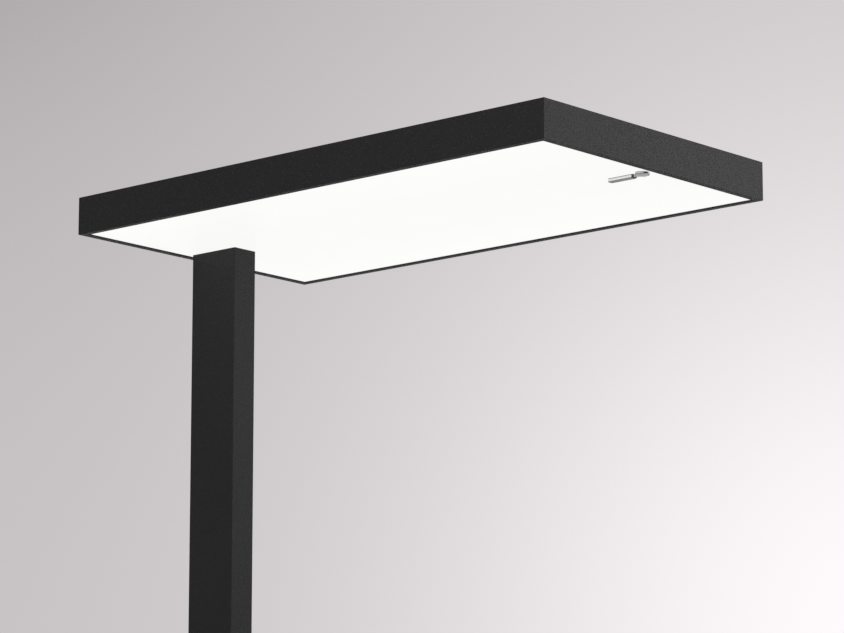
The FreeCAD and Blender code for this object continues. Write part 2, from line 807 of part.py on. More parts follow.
def build_frame_profile(name, length, corner, angle, spots):
    """One mitred profile of the frame, along its own X with its outer face on its XZ plane.

    The spots, along the profile, are those of the screws in its flange and in its ledge.
    """
    profile = new_body(name, (*corner, HEAD_BOTTOM), (UP, angle))
    pad(profile, [frame_section()], 0, length, "YZ_Plane")
    reach, past = "(dims.ledge_depth + dims.overcut)", "-dims.overcut"
    near_mitre = [(past, past), (reach, reach), (past, reach)]
    beyond = f"{length} + dims.overcut"
    far_mitre = [(beyond, past), (beyond, reach), (f"{length} - {reach}", reach)]
    pocket(profile, [near_mitre, far_mitre])
    tapped = "dims.small_screw + dims.fit_slack"
    flange_holes = [circle(x, TRAY_SCREW_INSET, tapped) for x in spots]
    pocket(profile, flange_holes, TRAY_LEVEL, "dims.flange_thick")
    ledge_holes = [circle(x, COVER_SCREW_INSET, tapped) for x in spots]
    pocket(profile, ledge_holes, COVER_LEVEL, "dims.ledge_thick")
    return profile


def spread(length, count):
    """Places of count screws along a profile, symmetric about its middle."""
    share = SCREW_REACH / max(count - 1, 1)
    start = 0.5 - share * (count - 1) / 2
    return [f"{length} * {start + share * step:.4f}" for step in range(count)]


def build_frame():
    """The four profiles with the screws into their flanges and ledges."""
    long, short = "dims.head_length", "dims.head_width"
    rear, free, half = HEAD_REAR, HEAD_FREE, HEAD_HALF
    sides = {
        "frame_side_right": (long, (rear, f"-{half}"), 0, 4),
        "frame_side_left": (long, (free, half), 180, 4),
        "frame_end_post": (short, (rear, half), -90, 1),
        "frame_end_free": (short, (free, f"-{half}"), 90, 2),
    }
    tray_spots, cover_spots = [], []
    feed = f"({FEED_X} - {HEAD_REAR})"
    feeds = {"frame_side_right": feed, "frame_side_left": f"({long} - {feed})"}
    for name, (length, corner, angle, count) in sides.items():
        spots = spread(length, count)
        profile = build_frame_profile(name, length, corner, angle, spots)
        if name in feeds:
            hole = circle(feeds[name], f"{HEAD_HALF} - {FEED_Y}", "dims.feed_hole")
            pocket(profile, [hole], TRAY_LEVEL, "dims.flange_thick")
        tray_spots += [on_profile(corner, angle, x, TRAY_SCREW_INSET) for x in spots]
        cover_spots += [on_profile(corner, angle, x, COVER_SCREW_INSET) for x in spots]
    return tray_spots, cover_spots


def on_profile(corner, angle, along, inset):
    """The lamp's x and y of a spot given along a profile and in from its outer face."""
    ax, ay = {0: (1, 0), 180: (-1, 0), -90: (0, -1), 90: (0, 1)}[angle]
    x = f"{corner[0]} + {ax} * ({along}) - {ay} * {inset}"
    y = f"{corner[1]} + {ay} * ({along}) + {ax} * {inset}"
    return x, y


def build_corner_keys():
    """The four L keys in the profiles' channels and the grub screws through their legs."""
    wall, leg = "dims.frame_wall", "dims.key_leg"
    thick = "(dims.channel_depth - dims.channel_lip - dims.frame_wall - dims.key_slack)"
    bottom = "(dims.channel_low + dims.channel_rib + dims.key_slack)"
    height = "(dims.channel_high - dims.channel_rib - dims.key_slack - " + bottom + ")"
    keys = head_body("corner_keys")
    outlines = []
    for x_end, inward_x in ((HEAD_REAR, 1), (HEAD_FREE, -1)):
        for inward_y in (1, -1):
            x = f"({x_end} + {inward_x} * {wall})"
            y = f"(-{inward_y} * ({HEAD_HALF} - {wall}))"
            far_x, far_y = f"{x} + {inward_x} * {leg}", f"{y} + {inward_y} * {leg}"
            near_x, near_y = f"{x} + {inward_x} * {thick}", f"{y} + {inward_y} * {thick}"
            corners = [(x, y), (far_x, y), (far_x, near_y), (near_x, near_y), (near_x, far_y), (x, far_y)]
            outlines.append(corners)
    pad(keys, outlines, bottom, height)
    level = "(dims.channel_low + dims.channel_high) / 2"
    hole = "dims.plate_screw + dims.fit_slack"
    place_in = "(dims.frame_wall + dims.key_screw_place)"
    along_x = [f"{HEAD_REAR} + {place_in}", f"{HEAD_FREE} - {place_in}"]
    along_y = [f"-{HEAD_HALF} + {place_in}", f"{HEAD_HALF} - {place_in}"]
    pocket(keys, [circle(x, level, hole) for x in along_x], 0, None, "XZ_Plane")
    pocket(keys, [circle(y, level, hole) for y in along_y], 0, None, "YZ_Plane")
    screws = []
    height_in_lamp = f"{HEAD_BOTTOM} + {level}"
    for x in along_x:
        for side in (-1, 1):
            spot = (x, f"{side} * ({HEAD_HALF} - {wall})", height_in_lamp)
            screws.append(grub_screw(spot, (V(1, 0, 0), 90 * side)))
    for y in along_y:
        for x_end, side in ((HEAD_REAR, 1), (HEAD_FREE, -1)):
            spot = (f"{x_end} + {side} * {wall}", y, height_in_lamp)
            screws.append(grub_screw(spot, (V(0, 1, 0), 90 * side)))
    group = document.addObject("Part::Compound", "corner_screws")
    group.Links = screws
    keep(group, "corner_screws")


def grub_screw(spot, turn):
    """A grub screw with its tip at a spot and a hexagonal socket in its other end."""
    shank = document.addObject("Part::Cylinder", "grub_shank")
    shank.setExpression("Radius", "dims.plate_screw")
    shank.setExpression("Height", "dims.key_screw_length")
    socket = document.addObject("Part::Prism", "grub_socket")
    socket.Polygon = 6
    socket.setExpression("Circumradius", "dims.plate_screw * dims.head_socket_depth")
    socket.setExpression("Height", "dims.key_screw_length")
    socket.setExpression("Placement.Base.z", "dims.key_socket_start")
    screw = document.addObject("Part::Cut", "grub_screw")
    screw.Base = shank
    screw.Tool = socket
    place(screw, spot, turn)
    return screw


# ---------------------------------------------------------------- sheets of the head


def head_outline(inset):
    """The head's outline drawn in by an inset."""
    return rectangle(
        f"{HEAD_REAR} + {inset}", f"{HEAD_FREE} - {inset}", f"-{HEAD_HALF} + {inset}", f"{HEAD_HALF} - {inset}"
    )


def build_sheet(name, inset, level, thick, openings):
    """A flat sheet of the head with openings through it."""
    body = head_body(name)
    pad(body, [head_outline(inset)], level, thick)
    pocket(body, openings)
    return body


def post_opening():
    """The opening that the post passes through, with its gap."""
    return centred(0, 0, "dims.post_depth + 2 * dims.post_gap", "dims.post_width + 2 * dims.post_gap")


def build_light_chamber(tray_spots):
    """Diffuser, light guide, reflector, foam and tray, from the bottom up."""
    ferrule = circle(LEVER_X, 0, "dims.ferrule_radius + dims.fit_slack")
    openings = [post_opening(), ferrule]
    build_sheet("diffuser", SHEET_INSET, DIFFUSER_LEVEL, "dims.diffuser_thick", openings)
    build_sheet("light_guide", "dims.guide_inset", GUIDE_LEVEL, "dims.guide_thick", openings)
    build_sheet("reflector_sheet", "dims.guide_inset", REFLECTOR_LEVEL, "dims.reflector_thick", openings)
    foam_thick = f"{TRAY_LEVEL} - {FOAM_LEVEL}"
    build_sheet("foam_spacer", "dims.foam_inset", FOAM_LEVEL, foam_thick, openings)
    screws = [circle(x, y, "dims.small_screw + dims.fit_slack") for x, y in tray_spots]
    post_holes = [circle(x, y, "dims.post_screw + dims.fit_slack") for x, y in post_screw_spots()]
    plate_holes = [circle(x, y, "dims.plate_screw + dims.fit_slack") for x, y in plate_screw_spots()]
    modules = driver_screw_spots() + dimmer_screw_spots()
    module_holes = [circle(x, y, "dims.small_screw + dims.fit_slack") for x, y in modules]
    feeds = [feed_notch(side) for side in (-1, 1)]
    lead_hole = circle(0, 0, "dims.lead_bore")
    tray_openings = [ferrule, lead_hole] + screws + post_holes + plate_holes + module_holes + feeds
    build_sheet("back_tray", SHEET_INSET, TRAY_LEVEL, "dims.tray_thick", tray_openings)
    headed_screws(
        "tray_screws",
        [(x, f"-({y})") for x, y in tray_spots],
        "dims.small_screw",
        "dims.small_screw_head",
        "dims.small_screw_head_height",
        "dims.tray_thick + dims.flange_thick",
        (0, 0, f"{HEAD_BOTTOM} + {TRAY_TOP}"),
        UPSIDE_DOWN,
    )


def feed_notch(side):
    """The notch in the tray's edge for the lead to a circuit strip."""
    half = "dims.feed_hole"
    inner, outer = f"({FEED_Y} - dims.feed_notch)", f"({HEAD_HALF} - dims.frame_wall / 2)"
    low, high = (inner, outer) if side > 0 else (f"-{outer}", f"-{inner}")
    return rectangle(f"{FEED_X} - {half}", f"{FEED_X} + {half}", low, high)


def post_screw_spots():
    """The four screws down into the post."""
    return four_corners("dims.post_pitch_x / 2", "dims.post_pitch_y / 2")


def plate_screw_spots():
    """The six screws of the mount plate into the tray."""
    margin = "dims.plate_screw_margin"
    side = f"(dims.mount_plate_width / 2 - {margin})"
    rear = f"(-dims.post_depth / 2 - dims.mount_overhang + {margin})"
    run = f"(dims.mount_plate_length - 2 * {margin})"
    return [(f"{rear} + {share} * {run}", f"{i} * {side}") for share in (0, 0.5, 1) for i in (-1, 1)]


def driver_screw_spots():
    """The two screws through the driver's lugs."""
    lug = "dims.driver_lug / 2"
    return [(f"dims.driver_start - {lug}", 0), (f"dims.driver_start + dims.driver_length + {lug}", 0)]


def dimmer_screw_spots():
    """The two screws in the floor of the dimmer's housing."""
    x = f"({LEVER_X} - dims.dimmer_back + dims.dimmer_screw_setback)"
    return [(x, f"{side} * dims.dimmer_screw_offset") for side in (-1, 1)]


def build_head_mount():
    """The steel plate on the tray with its screws and the lead's grommet."""
    half = "dims.mount_plate_width / 2"
    rear = "(-dims.post_depth / 2 - dims.mount_overhang)"
    plate = head_body("head_mount_plate")
    outline = rectangle(rear, f"{rear} + dims.mount_plate_length", f"-{half}", half)
    pad(plate, [outline], TRAY_TOP, "dims.mount_plate_thick")
    soften(plate, "Fillet", "dims.mount_plate_corner", upright)
    post_holes = [circle(x, y, "dims.post_screw + dims.fit_slack") for x, y in post_screw_spots()]
    tray_holes = [circle(x, y, "dims.plate_screw + dims.fit_slack") for x, y in plate_screw_spots()]
    neck = "dims.grommet_radius - dims.grommet_groove"
    pocket(plate, post_holes + tray_holes + [circle(0, 0, f"{neck} + dims.fit_slack")])
    headed_screws(
        "post_screws",
        post_screw_spots(),
        "dims.post_screw",
        "dims.post_screw_head",
        "dims.post_screw_head_height",
        "dims.post_screw_length",
        (0, 0, f"{HEAD_BOTTOM} + {PLATE_TOP}"),
        UPSIDE_DOWN,
    )
    headed_screws(
        "plate_screws",
        plate_screw_spots(),
        "dims.plate_screw",
        "dims.plate_screw_head",
        "dims.plate_screw_head_height",
        "dims.mount_plate_thick + dims.tray_thick",
        (0, 0, f"{HEAD_BOTTOM} + {PLATE_TOP}"),
        UPSIDE_DOWN,
    )
    grommet = new_body("lead_grommet", (0, 0, f"{HEAD_BOTTOM} + {PLATE_TOP}"))
    bore, top, edge = "dims.grommet_bore", "dims.grommet_top", "dims.grommet_edge"
    turned(
        grommet,
        [
            (bore, "-dims.mount_plate_thick"),
            (neck, "-dims.mount_plate_thick"),
            (neck, 0),
            ("dims.grommet_radius", 0),
            ("dims.grommet_radius", f"{top} - {edge}"),
            (f"dims.grommet_radius - {edge}", top),
            (bore, top),
        ],
    )


def build_cover(cover_spots):
    """The top cover with its two uplight slots, the windows under them and the screws."""
    length, width = "dims.slot_length", "dims.slot_width"
    middle = f"({HEAD_REAR} + dims.head_length / 2)"
    slots = [centred(middle, f"{side} * dims.slot_offset", length, width) for side in (-1, 1)]
    cover = head_body("top_cover")
    pad(cover, [head_outline(SHEET_INSET)], COVER_LEVEL, "dims.cover_thick")
    pocket(cover, slots)
    far_x = size("dims.slot_length / 2 + dims.overcut")
    far_y = size("dims.slot_offset + dims.slot_width / 2 + dims.overcut")
    centre_x = size(middle)

    def slot_corner(edge):
        """Whether an edge is an upright one of a slot."""
        spot = edge.CenterOfMass
        return upright(edge) and abs(spot.x - centre_x) < far_x and abs(spot.y) < far_y

    soften(cover, "Fillet", "dims.slot_corner", slot_corner)
    holes = [circle(x, y, "dims.small_screw + dims.fit_slack") for x, y in cover_spots]
    pocket(cover, holes)
    margin = "2 * dims.window_margin"
    for name, side in (("uplight_window_left", 1), ("uplight_window_right", -1)):
        window = head_body(name)
        outline = centred(middle, f"{side} * dims.slot_offset", f"{length} + {margin}", f"{width} + {margin}")
        pad(window, [outline], f"{COVER_LEVEL} - dims.window_thick", "dims.window_thick")
    headed_screws(
        "cover_screws",
        [(x, f"-({y})") for x, y in cover_spots],
        "dims.small_screw",
        "dims.small_screw_head",
        "dims.small_screw_head_height",
        "dims.cover_thick + dims.ledge_thick",
        (0, 0, f"{HEAD_BOTTOM} + {COVER_TOP}"),
        UPSIDE_DOWN,
    )


# ---------------------------------------------------------------- lights


def build_downlight():
    """The circuit strips along the frame's long walls and their LED packages."""
    start, end = f"{HEAD_REAR} + dims.strip_margin", f"{HEAD_FREE} - dims.strip_margin"
    wall_face = f"({HEAD_HALF} - dims.frame_wall)"
    for name, side in (("downlight_strip_left", 1), ("downlight_strip_right", -1)):
        strip = head_body(name)
        outer, inner = f"{side} * {wall_face}", f"{side} * ({wall_face} - dims.strip_thick)"
        low, high = (inner, outer) if side > 0 else (outer, inner)
        pad(strip, [rectangle(start, end, low, high)], GUIDE_LEVEL, "dims.strip_width")
    packages = head_body("downlight_leds")
    face = f"({wall_face} - dims.strip_thick - dims.led_deep / 2)"
    outlines = [centred(FIRST_LED, f"{side} * {face}", "dims.led_long", "dims.led_deep") for side in (-1, 1)]
    feature = pad(packages, outlines, f"{GUIDE_LEVEL} + dims.led_lift", "dims.led_tall")
    repeat(packages, feature, LED_RUN, "dims.downlight_count")


def build_uplight():
    """A channel rail, a circuit board and LED packages under each slot."""
    middle = f"({HEAD_REAR} + dims.head_length / 2)"
    length = "(dims.slot_length + 2 * dims.window_margin)"
    width, wall = "dims.rail_width", "dims.rail_thick"
    board_level = f"({TRAY_TOP} + dims.rail_height)"
    for name, side in (("left", 1), ("right", -1)):
        y = f"{side} * dims.slot_offset"
        rail = head_body(f"uplight_rail_{name}")
        pad(rail, [centred(middle, y, length, width)], TRAY_TOP, "dims.rail_height")
        hollow = centred(middle, y, f"{length} + 2 * dims.overcut", f"{width} - 2 * {wall}")
        pocket(rail, [hollow], f"{board_level} - {wall}", "dims.clear_cut")
        board = head_body(f"uplight_board_{name}")
        board_width = f"{width} - dims.board_relief"
        pad(board, [centred(middle, y, length, board_width)], board_level, "dims.board_thick")
    leds = head_body("uplight_leds")
    package = "dims.uplight_led"
    first_x = f"({middle} - dims.slot_length / 2 + dims.uplight_led_margin)"
    rows = [
        f"{side} * dims.slot_offset + {row} * dims.uplight_row_offset" for side in (-1, 1) for row in (-1, 1)
    ]
    outlines = [centred(first_x, y, package, package) for y in rows]
    feature = pad(leds, outlines, f"{board_level} + dims.board_thick", "dims.uplight_led_thick")
    repeat(leds, feature, "dims.slot_length - 2 * dims.uplight_led_margin", "dims.uplight_count")


# ---------------------------------------------------------------- electrics


def build_driver():
    """The driver: a case with two lugs, a lid and the board inside."""
    start, end = "dims.driver_start", "(dims.driver_start + dims.driver_length)"
    half, wall = "dims.driver_width / 2", "dims.driver_wall"
    case = head_body("driver_case")
    pad(case, [rectangle(start, end, f"-{half}", half)], TRAY_TOP, f"dims.driver_height - {wall}")
    inside = rectangle(f"{start} + {wall}", f"{end} - {wall}", f"-{half} + {wall}", f"{half} - {wall}")
    pocket(case, [inside], f"{TRAY_TOP} + {wall}", "dims.clear_cut", forward=True)
    lug, overlap, lug_half = "dims.driver_lug", "dims.driver_lug_overlap", "dims.driver_lug_width / 2"
    lugs = [
        rectangle(f"{start} - {lug}", f"{start} + {overlap}", f"-{lug_half}", lug_half),
        rectangle(f"{end} - {overlap}", f"{end} + {lug}", f"-{lug_half}", lug_half),
    ]
    pad(case, lugs, TRAY_TOP, "dims.driver_lug_thick")
    hole = "dims.plate_screw + dims.fit_slack"
    pocket(case, [circle(x, 0, hole) for x in (f"{start} - {lug} / 2", f"{end} + {lug} / 2")])
    poles = [f"{step} * dims.terminal_pitch" for step in (-1, 0, 1)]
    entries = [circle(y, WIRE_LEVEL, "dims.wire_entry") for y in poles]
    through = f"({wall} + dims.overcut)"
    pocket(case, entries, start, through, "YZ_Plane", forward=True)
    offsets = [f"{side} * {place}" for side in (-1, 1) for place in ("dims.strip_exit", "dims.board_exit")]
    exits = [circle(y, WIRE_LEVEL, "dims.wire_entry") for y in offsets]
    exits.append(circle("dims.control_exit", WIRE_LEVEL, "dims.control_lead_radius + dims.control_slack"))
    pocket(case, exits, f"{end} - {through}", f"2 * {through}", "YZ_Plane", forward=True)
    lid = head_body("driver_lid")
    pad(lid, [rectangle(start, end, f"-{half}", half)], f"{TRAY_TOP} + dims.driver_height - {wall}", wall)
    board = head_body("driver_board")
    gap = f"({wall} + dims.driver_board_gap)"
    bottom = f"({TRAY_TOP} + {wall})"
    outline = rectangle(f"{start} + {gap}", f"{end} - {gap}", f"-{half} + {gap}", f"{half} - {gap}")
    pad(board, [outline], bottom, "dims.board_thick")
    top = f"({bottom} + dims.board_thick)"
    for along, y, length, width, height in WOUND_PARTS:
        pad(board, [centred(f"{start} + {along}", y, length, width)], top, height)
    pad(board, [circle(f"{start} + {along}", y, CAN_RADIUS) for along, y in CANS], top, CAN_HEIGHT)


def build_terminal():
    """The three-pole terminal on the mount plate."""
    start = "dims.terminal_start"
    half = "dims.terminal_width / 2"
    terminal = head_body("mains_terminal")
    outline = rectangle(start, f"{start} + dims.terminal_length", f"-{half}", half)
    pad(terminal, [outline], PLATE_TOP, "dims.terminal_height")
    poles = [f"{step} * dims.terminal_pitch" for step in (-1, 0, 1)]
    entries = [circle(y, WIRE_LEVEL, "dims.wire_entry") for y in poles]
    pocket(terminal, entries, start, "dims.terminal_entry_depth", "YZ_Plane", forward=True)
    pocket(terminal, entries, f"{start} + dims.terminal_length", "dims.terminal_entry_depth", "YZ_Plane")
    place_in = "dims.terminal_screw_place"
    rows = [f"{start} + {place_in}", f"{start} + dims.terminal_length - {place_in}"]
    wells = [circle(x, y, "dims.terminal_screw") for x in rows for y in poles]
    pocket(terminal, wells, f"{PLATE_TOP} + dims.terminal_height", "dims.terminal_screw_depth")


def in_head(points):
    """Points given as x, y and level, lifted to the lamp's own heights."""
    bottom = size(HEAD_BOTTOM)
    return [(x, y, bottom + level) for x, y, level in points]


def mirrored(points):
    """Both a route and its mirror image across the XZ plane."""
    return [points, [(x, -y, level) for x, y, level in points]]


def build_wires():
    """The cores and leads inside the head, with the clips of the dimmer's lead."""
    wire_level = size(WIRE_LEVEL)
    start = size("dims.terminal_start")
    end = start + size("dims.terminal_length")
    driver = size("dims.driver_start")
    driver_end = driver + size("dims.driver_length")
    lead_top = size(f"{PLATE_TOP} + dims.lead_proud")
    cores = []
    for step in (-1, 0, 1):
        pole = step * size("dims.terminal_pitch")
        x, y = (1.6, 0) if step == 0 else (-1, 1.8 * step)
        cores.append(
            in_head(
                [
                    (x, y, lead_top),
                    (x, y, lead_top + 6),
                    (x + 5, 1.5 * y, lead_top + 11),
                    (x + 18, 0.5 * pole, lead_top + 11),
                    (42, pole, wire_level),
                    (start, 1.001 * pole, wire_level),
                ]
            )
        )
        cores.append(
            in_head(
                [
                    (end, pole, wire_level),
                    (end + 14, pole, wire_level),
                    (end + 30, 1.1 * pole, wire_level + 3),
                    (driver - 14, pole, wire_level),
                    (driver, pole, wire_level),
                ]
            )
        )
    routed_tube("mains_wires", cores, size("dims.core_radius"))
    low = size(TRAY_TOP) + 1.2
    feed_x, feed_y = size(FEED_X), size(FEED_Y)
    to_strip = [
        (driver_end, size("dims.strip_exit"), wire_level),
        (driver_end + 18, 25, 17),
        (driver_end + 44, 34, low),
        (feed_x - 26, 50, low),
        (feed_x + 2, 70, low),
        (feed_x + 4, 112, low),
        (feed_x, 144, low),
        (feed_x, feed_y, low),
        (feed_x, feed_y, size(GUIDE_LEVEL) + 3),
    ]
    board_top = size(f"{TRAY_TOP} + dims.rail_height + dims.board_thick")
    to_board = [
        (driver_end, size("dims.board_exit"), wire_level),
        (driver_end + 12, 20, wire_level + 2),
        (driver_end + 20, 38, wire_level + 4),
        (driver_end + 21, 58, wire_level + 4),
        (driver_end + 20, 76, board_top + 1),
    ]
    thin = size("dims.strip_lead_radius")
    routed_tube("led_leads", mirrored(in_head(to_strip)) + mirrored(in_head(to_board)), thin)
    dimmer = size(f"{LEVER_X} - dims.dimmer_back")
    clipped = size(f"{TRAY_TOP} + dims.control_lead_radius + dims.control_slack")
    clip_y, control_y = size("dims.clip_y"), size("dims.control_exit")
    control = [
        (driver_end, control_y, wire_level),
        (driver_end + 20, control_y, wire_level - 2),
        (driver_end + 44, clip_y, clipped),
        (driver_end + 106, clip_y, clipped),
        (dimmer - 15, -2, size(DIMMER_ENTRY) - 1),
        (dimmer, 0, size(DIMMER_ENTRY)),
    ]
    routed_tube("control_lead", [in_head(control)], size("dims.control_lead_radius"))
    clips = head_body("lead_clips")
    middles = [driver_end + 62, driver_end + 86]
    outlines = [centred(x, clip_y, "dims.lead_clip_length", "dims.lead_clip_width") for x in middles]
    pad(clips, outlines, TRAY_TOP, "dims.lead_clip_height")
    channel = circle(clip_y, clipped, "dims.control_lead_radius + dims.lead_clip_slack")
    pocket(clips, [channel], 0, None, "YZ_Plane")


# ---------------------------------------------------------------- dimmer lever


def lever_body(name):
    """A body with its origin on the lever's axis and its own heights as levels in the head."""
    return new_body(name, (LEVER_X, 0, HEAD_BOTTOM))


def build_spindle():
    """The lever's domed hub with its short arm and its shaft, grooved for the clip."""
    spindle = lever_body("lever_spindle")
    radius, shaft, edge = "dims.hub_radius", "dims.shaft_radius", "dims.hub_edge"
    groove = f"({shaft} - dims.groove_depth)"
    groove_low = f"({CLIP_LEVEL} - dims.groove_slack)"
    groove_high = f"({CLIP_LEVEL} + dims.clip_thick + dims.groove_slack)"
    dome = [(f"{radius} * {out}", f"{HUB_BOTTOM} + dims.hub_dome * {up}") for out, up in HUB_DOME]
    turned(
        spindle,
        [
            *dome,
            (radius, f"{HUB_TOP} - {edge}"),
            (f"{radius} - {edge}", HUB_TOP),
            (shaft, HUB_TOP),
            (shaft, groove_low),
            (groove, groove_low),
            (groove, groove_high),
            (shaft, groove_high),
            (shaft, "dims.shaft_top"),
            (0, "dims.shaft_top"),
        ],
    )
    arm = rectangle("-dims.collar_start", 0, "-dims.arm_width / 2", "dims.arm_width / 2")
    pad(spindle, [arm], f"{HUB_BOTTOM} + dims.arm_drop", "dims.hub_height - dims.arm_relief")
    neck = circle(0, NECK_LEVEL, "dims.neck_radius + dims.fit_slack / 2")
    pocket(spindle, [neck], "-dims.collar_start", "dims.neck_depth + dims.fit_slack", "YZ_Plane", forward=True)


def build_lever():
    """The moving lever: spindle, bar with its neck, collar, rotor and clip."""
    build_spindle()
    half, top, thick = "dims.bar_width / 2", BAR_TOP, "dims.bar_thick"
    bar = lever_body("lever_bar")
    pad(bar, [rectangle("-dims.bar_length", "-dims.bar_root", f"-{half}", half)], f"{top} - {thick}", thick)
    tip = size("-dims.bar_length")
    soften(bar, "Fillet", "dims.bar_round", lambda edge: upright(edge) and edge.BoundBox.XMin < tip + TOUCH)
    soften(bar, "Fillet", "dims.bar_edge", flat_at(f"{top} - {thick}"))
    neck_run = "(dims.bar_root - dims.collar_start + dims.neck_depth)"
    pad(bar, [circle(0, NECK_LEVEL, "dims.neck_radius")], "-dims.bar_root", neck_run, "YZ_Plane")
    collar = lever_body("lever_collar")
    inset = "dims.fit_slack"
    outline = rectangle("-dims.bar_root", "-dims.collar_start", f"-{half} + {inset}", f"{half} - {inset}")
    pad(collar, [outline], f"{top} - {thick} + {inset}", f"{thick} - 2 * {inset}")
    hole = circle(0, NECK_LEVEL, "dims.neck_radius + dims.fit_slack / 2")
    pocket(collar, [hole], 0, None, "YZ_Plane")
    rotor = lever_body("dimmer_rotor")
    lug = "dims.rotor_lug_width / 2"
    pad(rotor, [circle(0, 0, "dims.rotor_radius")], ROTOR_LEVEL, "dims.rotor_thick")
    reach = rectangle("-dims.rotor_lug_reach", "-dims.rotor_radius / 2", f"-{lug}", lug)
    pad(rotor, [reach], ROTOR_LEVEL, "dims.rotor_thick")
    pocket(rotor, [circle(0, 0, "dims.shaft_radius + dims.fit_slack / 2")])
    clip = lever_body("spindle_clip")
    pad(clip, [circle(0, 0, "dims.clip_radius")], CLIP_LEVEL, "dims.clip_thick")
    groove = "(dims.shaft_radius - dims.groove_depth + dims.fit_slack / 2)"
    pocket(clip, [circle(0, 0, groove)])
    mouth = f"{groove} * dims.clip_mouth"
    pocket(clip, [rectangle(f"-{mouth}", mouth, 0, "dims.clip_radius + dims.overcut")])


def build_dimmer():
    """The fixed side of the dimmer: ferrule, housing with two stops, board, lid and screws."""
    ferrule = lever_body("lever_ferrule")
    bore = "(dims.shaft_radius + dims.shaft_slack)"
    turned(
        ferrule,
        [
            (bore, DIFFUSER_LEVEL),
            ("dims.ferrule_radius", DIFFUSER_LEVEL),
            ("dims.ferrule_radius", TRAY_TOP),
            ("dims.ferrule_flange", TRAY_TOP),
            ("dims.ferrule_flange", DIMMER_FLOOR),
            ("dims.ferrule_radius", DIMMER_FLOOR),
            ("dims.ferrule_radius", "dims.ferrule_top"),
            (bore, "dims.ferrule_top"),
        ],
    )
    back, front, half = "-dims.dimmer_back", "dims.dimmer_front", "dims.dimmer_width / 2"
    wall = "dims.dimmer_wall"
    outline = rectangle(back, front, f"-{half}", half)
    inside = rectangle(f"{back} + {wall}", f"{front} - {wall}", f"-{half} + {wall}", f"{half} - {wall}")
    housing = lever_body("dimmer_housing")
    pad(housing, [outline], TRAY_TOP, "dims.dimmer_height")
    pocket(housing, [inside], DIMMER_FLOOR, "dims.dimmer_height", forward=True)
    swing = (
        "(dims.lever_swing * 1 deg + "
        "asin((dims.rotor_lug_width / 2 + dims.stop_radius + dims.stop_gap) / dims.stop_place))"
    )
    stop_x, stop_y = f"-dims.stop_place * cos({swing})", f"dims.stop_place * sin({swing})"
    stops = [circle(stop_x, f"{side} * {stop_y}", "dims.stop_radius") for side in (-1, 1)]
    inset = "dims.dimmer_shelf_inset"
    shelf_end = f"{back} + {wall} + dims.dimmer_shelf"
    shelf = rectangle(f"{back} + {inset}", shelf_end, f"-{half} + {inset}", f"{half} - {inset}")
    pad(housing, stops + [shelf], DIMMER_FLOOR, f"{DIMMER_BOARD} - {DIMMER_FLOOR}")
    pocket(housing, [circle(0, 0, "dims.ferrule_flange + dims.fit_slack")], DIMMER_FLOOR, wall)
    holes = [(f"{x} - {LEVER_X}", y) for x, y in dimmer_screw_spots()]
    pocket(housing, [circle(x, y, "dims.small_screw + dims.fit_slack") for x, y in holes], DIMMER_FLOOR, wall)
    entry = circle(0, DIMMER_ENTRY, "dims.control_lead_radius + dims.fit_slack")
    entry_depth = f"{wall} + dims.dimmer_shelf + dims.overcut"
    pocket(housing, [entry], back, entry_depth, "YZ_Plane", forward=True)
    board = lever_body("dimmer_board")
    clear = f"({wall} + dims.dimmer_board_gap)"
    board_outline = rectangle(
        f"{back} + {clear}", f"{front} - {clear}", f"-{half} + {clear}", f"{half} - {clear}"
    )
    pad(board, [board_outline], DIMMER_BOARD, "dims.board_thick")
    lid = lever_body("dimmer_lid")
    pad(lid, [outline], f"{TRAY_TOP} + dims.dimmer_height", wall)
    module_screws("driver_screws", driver_screw_spots(), "dims.driver_lug_thick")
    module_screws("dimmer_screws", dimmer_screw_spots(), wall)


def module_screws(name, spots, clamped):
    """Screws that clamp a module's lug or floor of a given thickness to the tray."""
    headed_screws(
        name,
        spots,
        "dims.small_screw",
        "dims.small_screw_head",
        "dims.small_screw_head_height",
        f"{clamped} + dims.tray_thick",
        (0, 0, f"{HEAD_BOTTOM} + {TRAY_TOP} + {clamped}"),
        UPSIDE_DOWN,
    )


def check_parts():
    """Stop with a plain message where an object failed or a part's shape is unsound."""
    document.recompute()
    for thing in document.Objects:
        if {"Invalid", "Error"} & set(thing.State):
            raise ValueError(f"{thing.Label} failed: {thing.State}")
    for part in parts:
        if part.Shape.isNull() or not part.Shape.isValid() or not part.Shape.Solids:
            raise ValueError(f"{part.Label} has no sound shape")


def write_parts():
    """Write each part's shape to its own file."""
    os.makedirs("parts", exist_ok=True)
    for part in parts:
        part.Shape.exportStep(f"parts/{part.Label}.step")
        print(f"{part.Label}: {len(part.Shape.Solids)} solids, {part.Shape.Volume:.0f} mm3")


build_base()
build_post()
build_gland()
build_inlet()
tray_spots, cover_spots = build_frame()
build_corner_keys()
build_light_chamber(tray_spots)
build_head_mount()
build_cover(cover_spots)
build_downlight()
build_uplight()
build_driver()
build_terminal()
build_wires()
build_lever()
build_dimmer()
check_parts()
write_parts()
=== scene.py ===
"""The looks of an office floor lamp, built round its packed construction.

Every length is in metres in the construction's own frame: Z up, the origin on the floor under the
post's axis, and X towards the head's free end. A level is a height above the bottom of the head's rim.
The outer pieces are made again here as finely rounded surfaces, and every piece gets its finish.
"""

from __future__ import annotations

import json
import logging
import math
from dataclasses import dataclass, field, replace
from enum import Enum

import bmesh
import bpy
import numpy as np
from mathutils import Matrix, Vector

